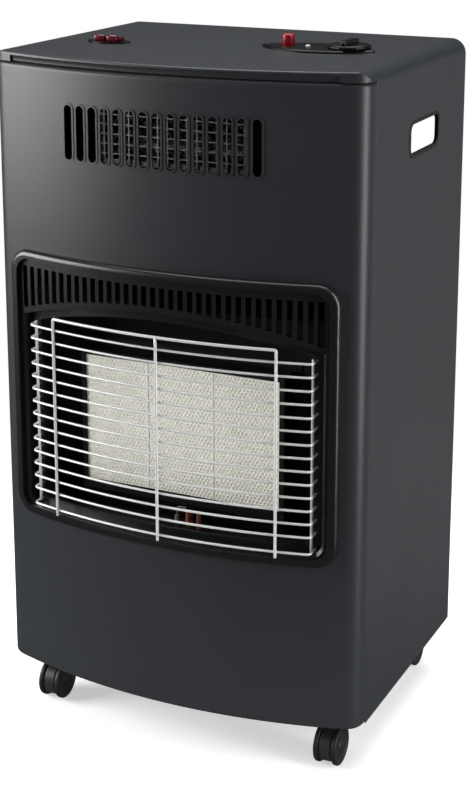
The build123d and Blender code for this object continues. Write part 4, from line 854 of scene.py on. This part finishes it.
class HEATER_OT_controls(bpy.types.Operator):
    """Knob, igniter button and rockers on the top"""

    bl_idname = "heater.controls"
    bl_label = "Controls"

    def execute(self, context):
        self.knob()
        self.button()
        for joint in frame["record"]["behaviour"]["joints"]:
            if joint["name"].startswith("rocker"):
                self.rocker(joint["child"], np.array(joint["pos_m"]) / MM)
        return {"FINISHED"}

    def knob(self):
        """A fluted skirt turned round the spindle, with a soft-edged bar across it.

        The skirt's radius is scaled by what fluted gives for the angle.
        """
        lowest, highest = low("control_knob"), high("control_knob")
        centre = (lowest + highest) / 2
        centre[2] = 0
        foot, top = lowest[2], highest[2]
        shoulder = foot + (top - foot) * 0.45
        profile = np.array(
            [
                [foot, 0.0], [foot, 3.6], [foot, 22.0], [foot + 0.4, 22.7], [shoulder - 1.6, 22.4],
                [shoulder - 0.7, 21.8], [shoulder - 0.1, 21.0], [shoulder, 19.5], [shoulder - 0.3, 17.0],
                [shoulder - 0.3, 8.0], [shoulder - 0.3, 0.0],
            ]
        )
        parts = Collector()
        parts.add(*lathe(profile, centre, 2, 6 * KNOB_FLUTES, fluted))
        sunk = 2.0
        rise = (top - shoulder + sunk) / 2
        parts.add(*pillow(centre + (0, 0, top - rise), (4.4, 20.0, rise), 4.0, 5.0))
        points = parts.all_points()
        add_piece("knob_moulding", points, parts.faces, "control_black", "control_knob", ["control_knob"])

    def button(self):
        """The button's cap, turned round its axis, with a round shoulder and a hollow top."""
        lowest, highest = low("piezo_button"), high("piezo_button")
        centre = (lowest + highest) / 2
        centre[2] = 0
        radius = (highest[0] - lowest[0]) / 2
        turn = np.linspace(0, np.pi / 2, 7)
        edge = 1.8
        height, reach = highest[2] - edge + edge * np.sin(turn), radius - edge + edge * np.cos(turn)
        shoulder = np.stack((height, reach), axis=1)
        profile = np.concatenate(
            (
                [[lowest[2], 0.0], [lowest[2], radius - 0.4], [lowest[2] + 0.4, radius]],
                shoulder,
                [[highest[2] - 0.3, radius - 3.0], [highest[2] - 0.8, radius - 4.8], [highest[2] - 0.9, 0.0]],
            )
        )
        points, faces = lathe(profile, centre, 2, 48)
        add_piece("button_cap", points, faces, "switch_red", "piezo_button", ["piezo_button"])

    def rocker(self, body, pivot):
        """A rocker's cap with round edges and a dished top, hollow over its pin, laid over by its tilt.

        Along y its top is rise - sink * (1 - (2 y / length) ** 2), between two round corners. Towards
        each end in x, at edge * cos t from the round's centre, the outline shrinks by edge * (1 - sin t).
        """
        width, length = 12.0, 21.0
        rise, sink = 9.0, 1.2
        corner, edge = 1.8, 1.6
        tilt = math.radians(10)
        side = np.array([[length / 2 - 1, -1.0], [length / 2 - 2.2, -1.0], [length / 2 - 2.6, 2.6]])
        foot = np.concatenate((side, (side * (-1, 1))[::-1]))
        y = np.linspace(corner - length / 2, length / 2 - corner, 13)
        top = np.stack((y, rise - sink * (1 - (2 * y / length) ** 2)), axis=1)
        turn = np.linspace(np.pi / 2, 0, 6)[1:]
        bend = np.stack((y[-1] + corner * np.cos(turn), top[-1, 1] - corner + corner * np.sin(turn)), axis=1)
        outline = np.concatenate(((bend * (-1, 1))[::-1], top, bend, foot))
        middle = np.array([0, rise / 2 - 2])
        t = np.linspace(0, np.pi / 2, 6)
        x = width / 2 - edge + edge * np.cos(t)
        shrink = edge * (1 - np.sin(t))
        x, shrink = np.concatenate((-x, x[::-1])), np.concatenate((shrink, shrink[::-1]))
        scale = 1 - shrink[:, None] / np.array([length / 2, rise / 2 + 2])
        flat = (outline - middle)[None] * scale[:, None] + middle
        turned = flat @ np.array([[math.cos(tilt), -math.sin(tilt)], [math.sin(tilt), math.cos(tilt)]])
        points = np.concatenate((np.broadcast_to(x[:, None, None], (*flat.shape[:2], 1)), turned), axis=2)
        count = len(outline)
        ring = np.arange(count)[None]
        faces = [grid_quads(len(x), count, wrap_columns=True), ring, (ring + (len(x) - 1) * count)[:, ::-1]]
        points = points.reshape(-1, 3) + pivot
        node = body.replace("rocker", "rocker_switch")
        piece = add_piece(f"{body}_cap", points, faces, "switch_red", body, [node], look="rocker_red")
        face_outwards(piece)


class HEATER_OT_wheels(bpy.types.Operator):
    """Caster wheels with round treads, dished faces and hubs"""

    bl_idname = "heater.wheels"
    bl_label = "Caster wheels"

    def execute(self, context):
        for place in ("front_left", "front_right", "rear_left", "rear_right"):
            for hand, side in (("left", -1), ("right", 1)):
                self.build(f"caster_{place}_wheel_{hand}", side)
        return {"FINISHED"}

    def build(self, node, side):
        """A wheel turned round its axle; the profile runs from the hub's cap over the tread to the bore."""
        lowest, highest = low(node), high(node)
        centre = (lowest + highest) / 2
        width = highest[0] - lowest[0]
        radius = (highest[2] - lowest[2]) / 2
        outer, inner = width / 2, -width / 2
        turn = np.linspace(0, np.pi / 2, 6)
        edge = 1.6
        bore = 3.05
        shoulder_out = np.stack((outer - edge + edge * np.cos(turn), radius - edge + edge * np.sin(turn)))
        shoulder_in = np.stack((inner + edge - edge * np.sin(turn), radius - edge + edge * np.cos(turn)))
        profile = np.concatenate(
            (
                [[outer, 0.0], [outer, 4.6], [outer - 0.3, 5.2], [outer - 1.4, 6.4], [outer - 1.5, 8.0]],
                [[outer - 1.5, 14.6], [outer - 1.1, 16.0], [outer, 16.8]],
                shoulder_out.T,
                shoulder_in.T,
                [[inner, 14.0], [inner, bore], [outer - 1.2, bore], [outer - 1.2, 0.0]],
            )
        )
        profile[:, 0] *= side
        points, faces = lathe(profile, centre, 0, 64)
        piece = add_piece(f"{node}_tread", points, faces, "wheel_plastic", node, [node])
        face_outwards(piece)


def area_light(name, place, aim, width, height, power):
    """A rectangular lamp at place that faces aim."""
    data = bpy.data.lights.new(name, "AREA")
    data.shape, data.size, data.size_y = "RECTANGLE", width, height
    data.energy = power
    lamp = bpy.data.objects.new(name, data)
    lamp.location = place
    lamp.rotation_euler = (Vector(aim) - Vector(place)).to_track_quat("-Z", "Y").to_euler()
    bpy.context.scene.collection.objects.link(lamp)


class HEATER_OT_stage(bpy.types.Operator):
    """Pale floor, soft light and the camera at the photograph's angle"""

    bl_idname = "heater.stage"
    bl_label = "Stage"

    def execute(self, context):
        scene = context.scene
        chosen = scene.heater_stage
        self.floor()
        self.studio(scene, chosen.room)
        scene.view_settings.view_transform = "Standard"
        for name, (place, aim, width, height, power) in LAMPS.items():
            area_light(name, place, aim, width, height, power * chosen.key)
        back = Vector(
            (
                math.sin(chosen.azimuth) * math.cos(chosen.elevation),
                -math.cos(chosen.azimuth) * math.cos(chosen.elevation),
                math.sin(chosen.elevation),
            )
        )
        data = bpy.data.cameras.new("camera")
        data.sensor_fit = "AUTO"
        data.lens = chosen.focal * data.sensor_width / max(IMAGE_WIDTH, IMAGE_HEIGHT)
        data.shift_y = chosen.shift
        camera = bpy.data.objects.new("camera", data)
        camera.location = Vector(AIM) + back * chosen.distance
        camera.rotation_euler = back.to_track_quat("Z", "Y").to_euler()
        scene.collection.objects.link(camera)
        scene.camera = camera
        return {"FINISHED"}

    def studio(self, scene, room):
        """White all round to the camera, and a dimmer even room to light and reflections."""
        world = bpy.data.worlds.new("studio")
        world.use_nodes = True
        tree = world.node_tree
        backdrop = tree.nodes["Background"]
        backdrop.inputs["Color"].default_value = (1, 1, 1, 1)
        walls = add_node(tree, "ShaderNodeBackground", in_Color=(0.94, 0.97, 1.0, 1), in_Strength=room)
        rays = add_node(tree, "ShaderNodeLightPath")
        choose = add_node(tree, "ShaderNodeMixShader")
        tree.links.new(rays.outputs["Is Camera Ray"], choose.inputs[0])
        tree.links.new(walls.outputs[0], choose.inputs[1])
        tree.links.new(backdrop.outputs[0], choose.inputs[2])
        tree.links.new(choose.outputs[0], tree.nodes["World Output"].inputs["Surface"])
        scene.world = world

    def floor(self):
        """A flat grid just under the wheels, which fades out towards the white backdrop."""
        reach = np.linspace(-FLOOR_REACH, FLOOR_REACH, FLOOR_LINES)
        grid_x, grid_y = np.meshgrid(reach, reach, indexing="ij")
        points = np.stack((grid_x, grid_y, np.full_like(grid_x, -FLOOR_DROP)), axis=-1).reshape(-1, 3)
        mesh = bpy.data.meshes.new("floor")
        mesh.from_pydata(points.tolist(), [], grid_quads(FLOOR_LINES, FLOOR_LINES).tolist())
        floor = bpy.data.objects.new("floor", mesh)
        bpy.context.scene.collection.objects.link(floor)
        material = make_finish("floor_paper", (0.92, 0.92, 0.92), 0.7, mottle=0.01, bump=0.02, dust=0.0)
        tree = material.node_tree
        shader = tree.nodes["Principled BSDF"]
        shader.inputs["Emission Color"].default_value = (1, 1, 1, 1)
        shader.inputs["Emission Strength"].default_value = FLOOR_GLOW
        place = add_node(tree, "ShaderNodeTexCoord")
        away = add_node(tree, "ShaderNodeVectorMath", operation="LENGTH")
        fade = add_node(tree, "ShaderNodeMapRange", interpolation_type="SMOOTHSTEP")
        fade.inputs["From Min"].default_value = 0.4 * FLOOR_REACH
        fade.inputs["From Max"].default_value = 0.98 * FLOOR_REACH
        fade.inputs["To Min"].default_value = 1.0
        fade.inputs["To Max"].default_value = 0.0
        tree.links.new(place.outputs["Object"], away.inputs[0])
        tree.links.new(away.outputs["Value"], fade.inputs["Value"])
        tree.links.new(fade.outputs["Result"], shader.inputs["Alpha"])
        mesh.materials.append(material)
        floor.visible_glossy = False


class HEATER_PT_panel(bpy.types.Panel):
    """Lists the heater's operators and settings"""

    bl_idname = "HEATER_PT_panel"
    bl_label = "Cabinet heater"
    bl_space_type = "VIEW_3D"
    bl_region_type = "UI"
    bl_category = "Heater"

    def draw(self, context):
        layout = self.layout
        for settings in SETTINGS:
            group = getattr(context.scene, settings)
            box = layout.box()
            for name in group.__annotations__:
                box.prop(group, name)
        for operator in OPERATORS:
            layout.operator(operator.bl_idname)


SETTINGS = {
    "heater_finishes": HeaterFinishes,
    "heater_guard": HeaterGuard,
    "heater_plaques": HeaterPlaques,
    "heater_stage": HeaterStage,
}
OPERATORS = (
    HEATER_OT_finishes,
    HEATER_OT_guard,
    HEATER_OT_plaques,
    HEATER_OT_trims,
    HEATER_OT_brow,
    HEATER_OT_controls,
    HEATER_OT_wheels,
    HEATER_OT_stage,
)


def register():
    """Add the settings, operators and panel to Blender."""
    for made in (*SETTINGS.values(), *OPERATORS, HEATER_PT_panel):
        bpy.utils.register_class(made)
    for name, settings in SETTINGS.items():
        setattr(bpy.types.Scene, name, PointerProperty(type=settings))


def unregister():
    """Take them out again, in the opposite order."""
    for name in SETTINGS:
        delattr(bpy.types.Scene, name)
    for made in (HEATER_PT_panel, *reversed(OPERATORS), *reversed(SETTINGS.values())):
        bpy.utils.unregister_class(made)


def main():
    """Run every operator in turn."""
    register()
    for operator in OPERATORS:
        group, name = operator.bl_idname.split(".")
        getattr(getattr(bpy.ops, group), name)()


if __name__ == "__main__":
    main()
